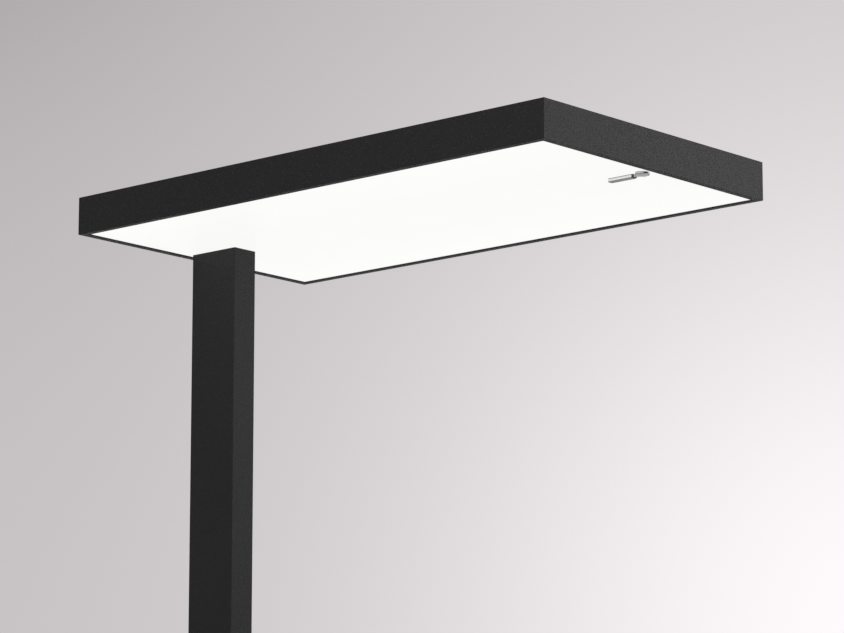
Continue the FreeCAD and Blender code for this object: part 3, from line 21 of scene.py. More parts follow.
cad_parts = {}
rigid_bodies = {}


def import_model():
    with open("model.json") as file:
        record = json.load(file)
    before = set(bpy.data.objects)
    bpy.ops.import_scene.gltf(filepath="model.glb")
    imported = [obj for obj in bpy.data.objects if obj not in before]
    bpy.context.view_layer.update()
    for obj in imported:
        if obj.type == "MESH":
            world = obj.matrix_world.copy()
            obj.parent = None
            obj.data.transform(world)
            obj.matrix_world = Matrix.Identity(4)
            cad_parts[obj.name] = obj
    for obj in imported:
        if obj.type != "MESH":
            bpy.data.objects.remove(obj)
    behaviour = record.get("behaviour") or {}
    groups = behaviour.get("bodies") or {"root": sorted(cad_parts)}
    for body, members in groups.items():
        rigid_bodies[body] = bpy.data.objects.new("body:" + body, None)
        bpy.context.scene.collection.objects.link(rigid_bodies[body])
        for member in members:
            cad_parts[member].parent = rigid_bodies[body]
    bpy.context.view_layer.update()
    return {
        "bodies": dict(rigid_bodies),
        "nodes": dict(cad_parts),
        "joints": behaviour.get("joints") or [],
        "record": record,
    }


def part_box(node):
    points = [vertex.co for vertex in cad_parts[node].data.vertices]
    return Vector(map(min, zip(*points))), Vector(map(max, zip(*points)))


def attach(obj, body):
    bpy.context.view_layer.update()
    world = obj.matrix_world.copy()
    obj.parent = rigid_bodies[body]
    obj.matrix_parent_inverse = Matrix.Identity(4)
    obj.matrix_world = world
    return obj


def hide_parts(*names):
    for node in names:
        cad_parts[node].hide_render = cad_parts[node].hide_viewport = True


Array = np.ndarray
Colour = tuple[float, float, float]
Socket = bpy.types.NodeSocket

MM = 0.001
IMAGE_WIDTH = 844
SENSOR_WIDTH = 36.0
QUARTER = math.pi / 2
SIXTH = math.pi / 3
FACING_BACK = Matrix.Rotation(-QUARTER, 3, "Y")
SHARP_ANGLE = math.radians(32)
WELD = 0.001 * MM

log = logging.getLogger("floor_lamp")


# ---------------------------------------------------------------- surfaces


@dataclass(frozen=True)
class Patch:
    """A surface as points, an (N, 3) array in metres, and polygons that list the points' numbers."""

    points: Array
    faces: list[list[int]]

    def turned(self, turn: Matrix, spots: Array) -> Patch:
        """Copies of the patch, each turned and then moved to a spot.

        Args:
            turn: The rotation, as a 3 x 3 matrix.
            spots: The copies' places, an (M, 3) array.

        Returns:
            One patch that holds the M copies, where copy m's points are turn times p plus spot m.
        """
        spun = self.points @ np.array(turn).T
        points = (np.asarray(spots)[:, None, :] + spun).reshape(-1, 3)
        starts = [copy * len(self.points) for copy in range(len(spots))]
        faces = [[index + start for index in face] for start in starts for face in self.faces]
        return Patch(points, faces)


def joined(*patches: Patch) -> Patch:
    """Make one patch of several.

    Args:
        patches: The patches.

    Returns:
        A patch that lists their points one after another.
    """
    points = np.concatenate([patch.points for patch in patches])
    starts = np.cumsum([0] + [len(patch.points) for patch in patches]).tolist()
    pairs = zip(patches, starts)
    faces = [[index + start for index in face] for patch, start in pairs for face in patch.faces]
    return Patch(points, faces)


def loft(rings: Array, closed: bool = False) -> Patch:
    """Skin a stack of closed rings.

    The grid's point (i, j) is point j of ring i. Each quad joins rings i and i + 1 at points j and j + 1,
    and j wraps round. A closed loft wraps i too, and an open one gets a flat cap at each end.

    Args:
        rings: The points, an (I, J, 3) array.
        closed: Whether the last ring joins the first.

    Returns:
        The skin as a closed patch.
    """
    rows, columns = rings.shape[:2]
    i = np.arange(rows if closed else rows - 1)[:, None]
    j = np.arange(columns)[None, :]
    following, beside = (i + 1) % rows, (j + 1) % columns
    corners = [i * columns + j, i * columns + beside, following * columns + beside, following * columns + j]
    faces = np.stack(corners, -1).reshape(-1, 4).tolist()
    if not closed:
        faces.append(list(range(columns)))
        faces.append(list(range((rows - 1) * columns, rows * columns)))
    return Patch(rings.reshape(-1, 3), faces)


def rounded_rings(low: Array, high: Array, radius: Array, steps: int) -> Array:
    """Outlines of rectangles with round corners, one ring per row.

    A corner's arc is its centre plus the radius times (cos a, sin a), where the angle a runs through the
    corner's own quarter turn, and the centre lies one radius in from both sides.

    Args:
        low: The rectangles' lowest corners, an (R, 2) array.
        high: Their highest corners, an (R, 2) array.
        radius: The corners' radii, an (R,) array, or (R, 4) from the corner at high round to the left.
        steps: The number of points on each arc.

    Returns:
        The outlines, counter-clockwise, an (R, 4 * steps, 2) array.
    """
    radius = np.broadcast_to(np.asarray(radius, float).reshape(len(low), -1), (len(low), 4))[:, :, None]
    angle = (np.arange(4)[:, None] + np.linspace(0, 1, steps)) * QUARTER
    sides = np.array([[1, 1], [-1, 1], [-1, -1], [1, -1]])
    middle, half = (low + high)[:, None, :] / 2, (high - low)[:, None, :] / 2
    centres = middle + (half - radius) * sides
    arcs = np.stack([np.cos(angle), np.sin(angle)], -1)
    return (centres[:, :, None, :] + radius[..., None] * arcs).reshape(len(low), -1, 2)


def placed(outlines: Array, along: Array, first: bool = False) -> Array:
    """Give flat outlines their third coordinate.

    Args:
        outlines: The outlines, an (I, J, 2) array.
        along: The third coordinate of each outline, an (I,) array.
        first: Whether it goes before the other two, instead of after them.

    Returns:
        The rings, an (I, J, 3) array.
    """
    third = np.broadcast_to(along[:, None, None], (*outlines.shape[:2], 1))
    return np.concatenate([third, outlines] if first else [outlines, third], -1)


def edge_curve(
    low: float, high: float, low_round: float, high_round: float, steps: int
) -> tuple[Array, Array]:
    """The side of a slab in section: how far in from the outline, against height.

    Both edges are quarter circles. At an angle a from 0 to a quarter turn, the lower one is in by
    r (1 - sin a) at a height r (1 - cos a) above the bottom, and the upper one is its mirror image.

    Args:
        low: The bottom's height.
        high: The top's height.
        low_round: The lower edge's radius.
        high_round: The upper edge's radius.
        steps: The number of points on each quarter circle.

    Returns:
        The insets and the heights, from the bottom up.
    """
    angle = np.linspace(0, QUARTER, steps)
    insets = [low_round * (1 - np.sin(angle)), high_round * (1 - np.cos(angle))]
    heights = [low + low_round * (1 - np.cos(angle)), high - high_round * (1 - np.sin(angle))]
    return np.concatenate(insets), np.concatenate(heights)


def slab(low: Vector, high: Vector, corner: float, rounds: tuple[float, float], steps: int = 10) -> Patch:
    """A flat piece with round corners and rounded edges.

    Args:
        low: The lowest corner of its box.
        high: The highest corner of its box.
        corner: The radius of its upright corners.
        rounds: The radii of its lower and upper edges.
        steps: The number of points on each arc.

    Returns:
        The slab as a loft of outlines that are drawn in along the edge curve.
    """
    inset, height = edge_curve(low.z, high.z, *rounds, steps)
    lows = np.array(low.xy) + inset[:, None]
    highs = np.array(high.xy) - inset[:, None]
    return loft(placed(rounded_rings(lows, highs, corner - inset, steps), height))


def filleted(corners: Array, radius: Array, steps: int) -> Array:
    """A polygon with an arc at each corner.

    The arc is a rational curve of the second degree from one tangent point to the other with its middle
    weight at the corner, which is a true circle when that weight is the sine of half the corner's angle.

    Args:
        corners: The polygon, an (N, 2) array.
        radius: Each corner's radius, an (N,) array.
        steps: The number of points on each arc.

    Returns:
        The outline, an (N * steps, 2) array.
    """
    back = np.roll(corners, 1, axis=0) - corners
    ahead = np.roll(corners, -1, axis=0) - corners
    back /= np.linalg.norm(back, axis=1, keepdims=True)
    ahead /= np.linalg.norm(ahead, axis=1, keepdims=True)
    half = np.arccos(np.clip((back * ahead).sum(1), -1, 1)) / 2
    reach = (radius / np.tan(half))[:, None]
    start, end = corners + reach * back, corners + reach * ahead
    share = np.linspace(0, 1, steps)[None, :, None]
    weight = np.sin(half)[:, None, None]
    blend = [(1 - share) ** 2, 2 * weight * share * (1 - share), share**2]
    arcs = blend[0] * start[:, None] + blend[1] * corners[:, None] + blend[2] * end[:, None]
    return (arcs / sum(blend)).reshape(-1, 2)


def hexagon_radius(across: Array | float, angle: Array) -> Array:
    """A hexagon's radius at an angle: half its width over cos of the angle to the nearest flat's middle."""
    from_flat = (angle + SIXTH / 2) % SIXTH - SIXTH / 2
    return across / 2 / np.cos(from_flat)


def turned_rings(radius: Array, height: Array, spokes: int) -> Array:
    """Rings about the Z axis: point (i, j) is r (cos a, sin a) at height i, at the angle a of spoke j.

    Args:
        radius: The radii, an (I, 1) array, or (I, J) where they change with the angle.
        height: The rings' heights, an (I,) array.
        spokes: The number of points on each ring.

    Returns:
        The points, an (I, J, 3) array.
    """
    angle = np.arange(spokes) * (2 * math.pi / spokes)
    radius = np.broadcast_to(radius, (len(height), spokes))
    heights = np.broadcast_to(height[:, None], radius.shape)
    return np.stack([radius * np.cos(angle), radius * np.sin(angle), heights], -1)


def spoke_angles(spokes: int) -> Array:
    """The angles of a turned surface's spokes, as one row."""
    return np.arange(spokes)[None, :] * (2 * math.pi / spokes)


class Bulge(Enum):
    """Which coordinate of a quarter ellipse starts slowly."""

    RADIUS_LATE = "radius late"
    HEIGHT_LATE = "height late"


def arc_points(start: tuple[float, float], end: tuple[float, float], bulge: Bulge, steps: int) -> Array:
    """A quarter of an ellipse from one (radius, height) to another.

    With a running from 0 to a quarter turn, the first coordinate moves by its change times 1 - cos a and
    the second by sin a, or the other way round, which sets the side that the curve bulges to.

    Args:
        start: The first point.
        end: The last point.
        bulge: Which coordinate moves slowly at the start.
        steps: The number of points.

    Returns:
        The points, a (steps, 2) array.
    """
    angle = np.linspace(0, QUARTER, steps)
    slow, fast = 1 - np.cos(angle), np.sin(angle)
    shares = (slow, fast) if bulge is Bulge.RADIUS_LATE else (fast, slow)
    return np.stack([start[k] + (end[k] - start[k]) * shares[k] for k in (0, 1)], -1)


# ---------------------------------------------------------------- materials


class Nodes:
    """A tree of nodes, with short ways to add and link them."""

    def __init__(self, tree: bpy.types.NodeTree) -> None:
        """Take the tree's nodes and links."""
        self.nodes, self.links = tree.nodes, tree.links

    def add(self, kind: str, **settings: object) -> bpy.types.Node:
        """A new node of a kind with its settings.

        Args:
            kind: The node's type.
            settings: Its own settings.

        Returns:
            The node.
        """
        node = self.nodes.new(kind)
        for name, value in settings.items():
            setattr(node, name, value)
        return node

    def feed(self, node: bpy.types.Node, **inputs: object) -> bpy.types.Node:
        """Set or link a node's inputs.

        Args:
            node: The node.
            inputs: A value or a socket for each, named with _ for a space, or with i and its number.

        Returns:
            The node.
        """
        for name, value in inputs.items():
            numbered = name[0] == "i" and name[1:].isdigit()
            key: int | str = int(name[1:]) if numbered else name.replace("_", " ")
            if isinstance(value, Socket):
                self.links.new(value, node.inputs[key])
            else:
                node.inputs[key].default_value = value
        return node

    def sum(self, operation: str, first: Socket | float, second: Socket | float) -> Socket:
        """One sum of two values, such as MULTIPLY or MAXIMUM."""
        node = self.add("ShaderNodeMath", operation=operation)
        return self.feed(node, i0=first, i1=second).outputs[0]

    def shown(self) -> Socket:
        """What tells the two kinds of rays apart.

        Returns:
            1 for rays that the eye, bright metal or clear sheet sees by, and 0 for light on dull surfaces.
        """
        path = self.add("ShaderNodeLightPath").outputs
        mirrored = self.sum("MAXIMUM", path["Is Glossy Ray"], path["Is Transmission Ray"])
        return self.sum("MAXIMUM", path["Is Camera Ray"], mirrored)


class Tree(Nodes):
    """A material's nodes: a Principled shader and what a finish adds in front of it."""

    def __init__(self, name: str) -> None:
        """Make the material, and take its pattern's place from the piece's own coordinates.

        Args:
            name: The material's name.
        """
        self.material = bpy.data.materials.new(name)
        self.material.use_nodes = True
        super().__init__(self.material.node_tree)
        self.shader = self.nodes["Principled BSDF"]
        self.place = self.add("ShaderNodeTexCoord").outputs["Object"]

    def stretched(self, scale: tuple[float, float, float]) -> Socket:
        """The place, stretched along the axes by a scale."""
        node = self.add("ShaderNodeMapping", vector_type="TEXTURE")
        return self.feed(node, Vector=self.place, Scale=scale).outputs[0]

    def noise(self, grain: float, detail: float = 2.0, place: Socket | None = None) -> Socket:
        """Smooth noise from 0 to 1 whose lumps are about one grain wide.

        Args:
            grain: The lumps' width, in metres.
            detail: How many finer layers it has.
            place: Where it is read, if not at the piece's own place.

        Returns:
            The noise's socket.
        """
        node = self.add("ShaderNodeTexNoise", noise_dimensions="3D")
        self.feed(node, Vector=place or self.place, Scale=1 / grain, Detail=detail, Roughness=0.55)
        return node.outputs[0]

    def cells(self, width: float) -> tuple[Socket, Socket]:
        """Random cells of a width: the distance to the cell's middle, and the cell's own random colour.

        Args:
            width: The cells' width, in metres.

        Returns:
            The two sockets.
        """
        node = self.add("ShaderNodeTexVoronoi", feature="F1")
        self.feed(node, Vector=self.place, Scale=1 / width)
        return node.outputs["Distance"], node.outputs["Color"]

    def spread(self, value: Socket, start: tuple[float, float], end: tuple[float, float]) -> Socket:
        """A value brought from one range to another, clamped.

        Args:
            value: The value.
            start: Its range.
            end: The range that it is brought to.

        Returns:
            The new value.
        """
        node = self.add("ShaderNodeMapRange")
        self.feed(node, i0=value, i1=start[0], i2=start[1], i3=end[0], i4=end[1])
        return node.outputs[0]

    def axis(self, name: str) -> Socket:
        """One coordinate of the place."""
        node = self.feed(self.add("ShaderNodeSeparateXYZ"), Vector=self.place)
        return node.outputs[name]

    def blend(self, share: Socket, first: Colour | Socket, second: Colour | Socket) -> Socket:
        """A colour between two, by a share from 0 to 1.

        Args:
            share: The share of the second colour.
            first: The first colour.
            second: The second colour.

        Returns:
            The mixed colour.
        """
        node = self.add("ShaderNodeMix", data_type="RGBA")
        ends = [end if isinstance(end, Socket) else (*end, 1.0) for end in (first, second)]
        self.feed(node, i0=share, i6=ends[0], i7=ends[1])
        return node.outputs[2]

    def relief(self, height: Socket, depth: float, strength: float = 1.0) -> Socket:
        """A normal from a height of 0 to 1 that stands for a depth.

        Args:
            height: The height.
            depth: The depth, in metres.
            strength: How much of it counts.

        Returns:
            The normal.
        """
        node = self.add("ShaderNodeBump")
        self.feed(node, Height=height, Distance=depth, Strength=strength)
        return node.outputs[0]

    def shade(self, **inputs: object) -> bpy.types.Material:
        """Set the shader's own inputs and return the material."""
        self.feed(self.shader, **inputs)
        return self.material


def scaled(colour: Colour, share: float) -> Colour:
    """A colour made lighter or darker by a share."""
    return tuple(min(channel * share, 1.0) for channel in colour)


class Lay(Enum):
    """The way that a brushed or turned surface's fine lines run."""

    ALONG_X = (1.0, 0.02, 0.02)
    ALONG_Z = (0.02, 0.02, 1.0)
    NONE = (1.0, 1.0, 1.0)


@dataclass(frozen=True)
class Finish:
    """A surface finish, known by the record's material slot whose colour it takes."""

    slot: str

    def build(self, colour: Colour) -> bpy.types.Material:
        """Make the material in a base colour."""
        raise NotImplementedError


@dataclass(frozen=True)
class PowderCoat(Finish):
    """Fine textured powder coat: an even grain of small lumps with painted shade in its pits, and a few
    raised flecks painted lighter as painted glints.
    """

    grain: float = 1.4 * MM
    grain_range: tuple[float, float] = (0.35, 0.65)
    pit_shade: float = 0.86
    depth: float = 1.2 * MM
    fleck_width: float = 2.6 * MM
    fleck_edge: tuple[float, float] = (0.2, 0.42)
    fleck_rise: float = 0.4
    fleck_share: float = 0.38
    fleck_fade: float = 0.6
    fleck_glint: float = 1.55
    cloud: float = 60 * MM
    cloud_tones: tuple[float, float] = (0.85, 1.15)
    roughness: tuple[float, float] = (0.42, 0.58)
    roughness_range: tuple[float, float] = (0.3, 0.7)
    gloss: float = 0.12

    def build(self, colour: Colour) -> bpy.types.Material:
        """Mottle the colour, paint shade into the grain's pits and glints onto the flecks, and raise the
        grain and the flecks.

        Args:
            colour: The coat's colour.

        Returns:
            The material.
        """
        tree = Tree(self.slot)
        dark, light = (scaled(colour, tone) for tone in self.cloud_tones)
        grain = tree.noise(self.grain, 3)
        lumps = tree.spread(grain, self.grain_range, (0, 1))
        top = tree.blend(tree.noise(self.cloud, 3), dark, light)
        # Painted shade: the grain's low spots take the darker pit colour.
        ground = tree.blend(lumps, scaled(colour, self.pit_shade), top)
        distance, random = tree.cells(self.fleck_width)
        chosen = tree.spread(random, (1 - self.fleck_share, 1 - self.fleck_fade * self.fleck_share), (0, 1))
        spot = tree.sum("MULTIPLY", tree.spread(distance, self.fleck_edge, (1, 0)), chosen)
        height = tree.sum("ADD", grain, tree.sum("MULTIPLY", spot, self.fleck_rise))
        return tree.shade(
            # Painted glint: the chosen flecks are lighter than the coat, over their real raised bump.
            Base_Color=tree.blend(spot, ground, scaled(colour, self.fleck_glint)),
            Roughness=tree.spread(grain, self.roughness_range, self.roughness),
            Normal=tree.relief(height, self.depth),
            Specular_IOR_Level=self.gloss,
        )


@dataclass(frozen=True)
class LitOpal(Finish):
    """Opal acrylic, lit from behind, slightly brighter towards its lit edges."""

    glow: float = 0.985
    reflect: float = 0.04
    gloss: float = 0.03
    half_width: float = 162 * MM
    even_share: float = 0.3
    cloud: float = 40 * MM
    edge_gain: float = 0.02
    roughness: float = 0.5
    skin_grain: float = 0.4 * MM
    skin_depth: float = 0.004 * MM

    def build(self, colour: Colour) -> bpy.types.Material:
        """Let the glow rise from the middle line to both long edges, with a trace of unevenness.

        Args:
            colour: The base colour of the slot.

        Returns:
            The material.
        """
        tree = Tree(self.slot)
        aside = tree.sum("ABSOLUTE", tree.axis("Y"), 0.0)
        edge = tree.spread(aside, (self.even_share * self.half_width, self.half_width), (0, 1))
        share = tree.sum("MULTIPLY", tree.sum("ADD", edge, tree.noise(self.cloud, 2)), 0.5)
        light = tree.blend(share, scaled(colour, 1 - self.edge_gain), scaled(colour, 1 + self.edge_gain))
        skin = tree.relief(tree.noise(self.skin_grain), self.skin_depth)
        return tree.shade(
            Base_Color=(*scaled(colour, self.reflect), 1.0),
            Roughness=self.roughness,
            Specular_IOR_Level=self.gloss,
            Emission_Color=light,
            Emission_Strength=self.glow,
            Normal=skin,
        )


@dataclass(frozen=True)
class ClearSheet(Finish):
    """Clear acrylic with a fine grid of frosted dots that draw the light out."""

    dot_pitch: float = 2 * MM
    dot_edge: tuple[float, float] = (0.22, 0.26)
    dot_colour: Colour = (0.98, 0.98, 0.98)
    roughness: tuple[float, float] = (0.04, 0.6)
    clearness: float = 0.9
    index: float = 1.49

    def build(self, colour: Colour) -> bpy.types.Material:
        """Roughen a round dot in each cell of a close grid.

        Args:
            colour: The base colour of the slot.

        Returns:
            The material.
        """
        tree = Tree(self.slot)
        node = tree.add("ShaderNodeTexVoronoi", feature="F1")
        tree.feed(node, Vector=tree.place, Scale=1 / self.dot_pitch, Randomness=0.0)
        dot = tree.spread(node.outputs["Distance"], self.dot_edge, (1, 0))
        base = tree.blend(dot, colour, self.dot_colour)
        rough = tree.spread(dot, (0, 1), self.roughness)
        tree.shade(Transmission_Weight=self.clearness, IOR=self.index)
        return tree.shade(Base_Color=base, Roughness=rough)


@dataclass(frozen=True)
class Moulding(Finish):
    """Moulded plastic, rubber or film: a fine even grain and a soft gloss."""

    roughness: float = 0.5
    grain: float = 0.35 * MM
    depth: float = 0.01 * MM
    cloud: float = 9 * MM
    unevenness: float = 0.06

    def build(self, colour: Colour) -> bpy.types.Material:
        """Mottle the colour a little and raise the grain.

        Args:
            colour: The base colour of the slot.

        Returns:
            The material.
        """
        tree = Tree(self.slot)
        cloud = tree.noise(self.cloud, 3)
        base = tree.blend(cloud, scaled(colour, 1 - self.unevenness), scaled(colour, 1 + self.unevenness))
        grain = tree.noise(self.grain, 2)
        rough = tree.spread(grain, (0.25, 0.75), (self.roughness - 0.05, self.roughness + 0.07))
        return tree.shade(Base_Color=base, Roughness=rough, Normal=tree.relief(grain, self.depth))


@dataclass(frozen=True)
class ClosedFoam(Finish):
    """Closed cell foam: packed round cells, with painted shade on the sunk walls between them."""

    cell: float = 0.8 * MM
    wall: tuple[float, float] = (0.15, 0.65)
    tones: tuple[float, float] = (1.1, 0.6)
    depth: float = 0.15 * MM
    roughness: float = 0.9

    def build(self, colour: Colour) -> bpy.types.Material:
        """Sink the skin towards each cell's rim, and paint shade there, darker towards the rim.

        Args:
            colour: The base colour of the slot.

        Returns:
            The material.
        """
        tree = Tree(self.slot)
        distance, _ = tree.cells(self.cell)
        rim = tree.spread(distance, self.wall, (0, 1))
        # Painted shade: the cells' sunk rims take the darker tone.
        middle, edge = (scaled(colour, tone) for tone in self.tones)
        skin = tree.relief(tree.sum("SUBTRACT", 1.0, rim), self.depth)
        return tree.shade(Base_Color=tree.blend(rim, middle, edge), Roughness=self.roughness, Normal=skin)


@dataclass(frozen=True)
class Metal(Finish):
    """Bare or plated metal with fine lines, small scratches and a slight change of tone."""

    roughness: float = 0.3
    roughness_shares: tuple[float, float] = (0.75, 1.25)
    lay: Lay = Lay.ALONG_X
    line: float = 0.5 * MM
    depth: float = 0.004 * MM
    patch: float = 12 * MM
    patchiness: float = 0.06

    def build(self, colour: Colour) -> bpy.types.Material:
        """Stretch the noise along the lay for the lines, and let them change the gloss a little.

        Args:
            colour: The base colour of the slot.

        Returns:
            The material.
        """
        tree = Tree(self.slot)
        reach = 1 / min(self.lay.value)
        place = tree.stretched(tuple(reach * share for share in self.lay.value))
        lines = tree.noise(self.line, 3, place)
        ends = tuple(share * self.roughness for share in self.roughness_shares)
        rough = tree.spread(lines, (0.2, 0.8), ends)
        normal = tree.relief(lines, self.depth)
        return tree.shade(Base_Color=self.tone(tree, colour), Metallic=1.0, Roughness=rough, Normal=normal)

    def tone(self, tree: Tree, colour: Colour) -> Socket:
        """The colour, lighter and darker over a wider noise."""
        patches = tree.noise(self.patch, 4)
        return tree.blend(patches, scaled(colour, 1 - self.patchiness), scaled(colour, 1 + self.patchiness))


@dataclass(frozen=True)
class ShadeBandMetal(Metal):
    """Metal with painted shade and a painted dark reflection: a dark band above and below a middle height, at
    a range of distances from it.
    """

    middle: float = 0.0
    band: tuple[float, float] = (0.0, 0.0)
    shade_share: float = 0.4
    fade: float = 0.1 * MM

    def tone(self, tree: Tree, colour: Colour) -> Socket:
        """Paint shade into what lies in the band, darkening it over the metal's own tone.

        Args:
            tree: The material's nodes.
            colour: The base colour of the slot.

        Returns:
            The colour.
        """
        start, end = self.band
        away = tree.sum("ABSOLUTE", tree.sum("SUBTRACT", tree.axis("Z"), self.middle), 0.0)
        inner = tree.spread(away, (start - self.fade, start), (0, 1))
        outer = tree.spread(away, (end, end + self.fade), (1, 0))
        # Painted shade and dark reflection: the band takes the slot colour darkened by the shade share.
        plain, painted_shade = super().tone(tree, colour), scaled(colour, self.shade_share)
        return tree.blend(tree.sum("MULTIPLY", inner, outer), plain, painted_shade)


@dataclass(frozen=True)
class CircuitBoard(Finish):
    """Solder mask over copper: the tracks show as slightly raised, lighter bands, with tinned pads."""

    mask: Colour | None = None
    tin: Colour = (0.7, 0.7, 0.68)
    track: float = 3.2 * MM
    track_tone: float = 0.8
    track_gap: float = 0.09
    pad_pitch: float = 5.44 * MM
    pad_edge: tuple[float, float] = (0.16, 0.18)
    pad_choice: tuple[float, float] = (0.6, 0.62)
    pad_metal: float = 0.9
    depth: float = 0.04 * MM
    roughness: float = 0.38

    def build(self, colour: Colour) -> bpy.types.Material:
        """Draw bands on a square grid of cells, some cells with a pad.

        Args:
            colour: The base colour of the slot.

        Returns:
            The material.
        """
        tree = Tree(self.slot if self.mask is None else f"{self.slot}_green")
        ground = self.mask or colour
        brick = tree.add("ShaderNodeTexBrick", offset=0.37, squash=1.6, squash_frequency=3)
        tree.feed(brick, Vector=tree.place, Scale=1 / self.track, Mortar_Smooth=0.2)
        tree.feed(brick, Mortar_Size=self.track_gap)
        band = brick.outputs["Fac"]
        distance, random = tree.cells(self.pad_pitch)
        round_spot = tree.spread(distance, self.pad_edge, (1, 0))
        pad = tree.sum("MULTIPLY", round_spot, tree.spread(random, self.pad_choice, (0, 1)))
        tracks = tree.blend(band, ground, scaled(ground, self.track_tone))
        height = tree.sum("ADD", tree.sum("SUBTRACT", 1.0, band), pad)
        return tree.shade(
            Base_Color=tree.blend(pad, tracks, self.tin),
            Roughness=self.roughness,
            Metallic=tree.sum("MULTIPLY", pad, self.pad_metal),
            Normal=tree.relief(height, self.depth),
        )


@dataclass(frozen=True)
class Phosphor(Finish):
    """An LED package's yellow phosphor with a fine powdery grain."""

    glow: float = 0.8
    lights: tuple[Colour, Colour] = ((1.0, 0.9, 0.62), (1.0, 0.97, 0.85))
    grain: float = 0.15 * MM
    tones: tuple[float, float] = (0.85, 1.1)
    roughness: float = 0.3

    def build(self, colour: Colour) -> bpy.types.Material:
        """Speckle the phosphor and let it glow in its own colour.

        Args:
            colour: The base colour of the slot.

        Returns:
            The material.
        """
        tree = Tree(self.slot)
        grain = tree.noise(self.grain, 3)
        base = tree.blend(grain, *(scaled(colour, tone) for tone in self.tones))
        light = tree.blend(grain, *self.lights)
        tree.shade(Base_Color=base, Roughness=self.roughness)
        return tree.shade(Emission_Color=light, Emission_Strength=self.glow)


@dataclass(frozen=True)
class CoreColours(Finish):
    """Smooth insulation whose colour goes by the core: blue, green and brown from left to right."""

    pole: float = 0.9 * MM
    colours: tuple[Colour, Colour, Colour] = ((0.03, 0.1, 0.45), (0.12, 0.4, 0.06), (0.2, 0.07, 0.03))

    def build(self, colour: Colour) -> bpy.types.Material:
        """Change colour at two places across the lamp, half a core's spacing each side of its middle.

        Args:
            colour: The base colour of the slot; not used, as the cores keep their own colours.

        Returns:
            The material.
        """
        tree = Tree(self.slot)
        across = tree.axis("Y")
        right = tree.spread(across, (-self.pole, -0.98 * self.pole), (0, 1))
        left = tree.spread(across, (0.98 * self.pole, self.pole), (0, 1))
        first = tree.blend(right, self.colours[0], self.colours[1])
        base = tree.blend(left, first, self.colours[2])
        skin = tree.relief(tree.noise(0.6 * MM, 2), 0.01 * MM)
        return tree.shade(Base_Color=base, Roughness=0.4, Normal=skin)


FINISHES: dict[str, Finish] = {
    finish.slot: finish
    for finish in (
        PowderCoat("black_powder_coat"),
        LitOpal("light_panel"),
        LitOpal("frosted_window", glow=0.8, reflect=0.2, half_width=25 * MM, edge_gain=0.01, roughness=0.5),
        ClearSheet("clear_acrylic"),
        Moulding("white_film", roughness=0.55, grain=0.2 * MM, depth=0.003 * MM, unevenness=0.01),
        ClosedFoam("grey_foam"),
        Metal("bare_aluminium", roughness=0.38),
        Metal("plated_steel", roughness=0.3, lay=Lay.NONE, line=1.5 * MM, patchiness=0.12),
        Moulding("black_steel", roughness=0.36, grain=0.25 * MM, depth=0.006 * MM, unevenness=0.15),
        Metal("bush_brass", roughness=0.28, lay=Lay.ALONG_Z, line=0.3 * MM),
        Moulding("black_plastic", roughness=0.5),
        Moulding("white_plastic", roughness=0.45, unevenness=0.02),
        Moulding("black_rubber", roughness=0.75, grain=0.6 * MM, depth=0.03 * MM, unevenness=0.12),
        CircuitBoard("circuit_board"),
        Phosphor("led_phosphor"),
        Moulding("cable_sheath", roughness=0.42, grain=1.2 * MM, depth=0.01 * MM),
        CoreColours("core_insulation"),
    )
}


# ---------------------------------------------------------------- workshop


class Workshop:
    """Makes the pieces and dresses them, in the frame's colours."""

    def __init__(self, frame: dict) -> None:
        """Take the frame's nodes, joints and material colours.
        """
        self.nodes: dict[str, bpy.types.Object] = frame["nodes"]
        self.joints: list[dict] = frame["joints"]
        self.colours = {row["slot"]: tuple(row["base_color"][:3]) for row in frame["record"]["materials"]}
        self.made: dict[Finish, bpy.types.Material] = {}

    def material(self, finish: Finish) -> bpy.types.Material:
        """A finish's material, made once."""
        if finish not in self.made:
            self.made[finish] = finish.build(self.colours[finish.slot])
        return self.made[finish]

    def dress(self, finish: Finish | str, *nodes: str) -> None:
        """Give construction nodes their finish.

        Args:
            finish: The finish, or the slot whose own finish it is.
            nodes: The nodes' names.
        """
        chosen = FINISHES[finish] if isinstance(finish, str) else finish
        for node in nodes:
            for slot in self.nodes[node].material_slots:
                slot.material = self.material(chosen)
        log.info("%s: %s", chosen.slot, ", ".join(nodes))

    def piece(
        self,
        name: str,
        patch: Patch,
        slot: str,
        body: str,
        replaces: tuple[str, ...],
        finish: Finish | None = None,
    ) -> bpy.types.Object:
        """Make a new piece of a patch, closed and facing outwards.

        Args:
            name: The piece's name.
            patch: Its surface.
            slot: The material slot that it takes its finish from.
            body: The body that it moves with.
            replaces: The construction nodes that it stands for.
            finish: Its own finish, where that isn't simply the slot's.

        Returns:
            The new object, at the origin.
        """
        mesh = bpy.data.meshes.new(name)
        mesh.from_pydata(patch.points.tolist(), [], patch.faces)
        shell = bmesh.new()
        shell.from_mesh(mesh)
        bmesh.ops.remove_doubles(shell, verts=shell.verts, dist=WELD)
        bmesh.ops.recalc_face_normals(shell, faces=shell.faces)
        shell.to_mesh(mesh)
        shell.free()
        mesh.shade_smooth()
        mesh.set_sharp_from_angle(angle=SHARP_ANGLE)
        mesh.materials.append(self.material(finish or FINISHES[slot]))
        thing = bpy.data.objects.new(name, mesh)
        bpy.context.scene.collection.objects.link(thing)
        flats = thing.modifiers.new("flats", "WEIGHTED_NORMAL")
        flats.keep_sharp = True
        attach(thing, body)
        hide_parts(*replaces)
        log.info("%s: %d faces, rides on %s", name, len(mesh.polygons), body)
        return thing


# ---------------------------------------------------------------- base and post


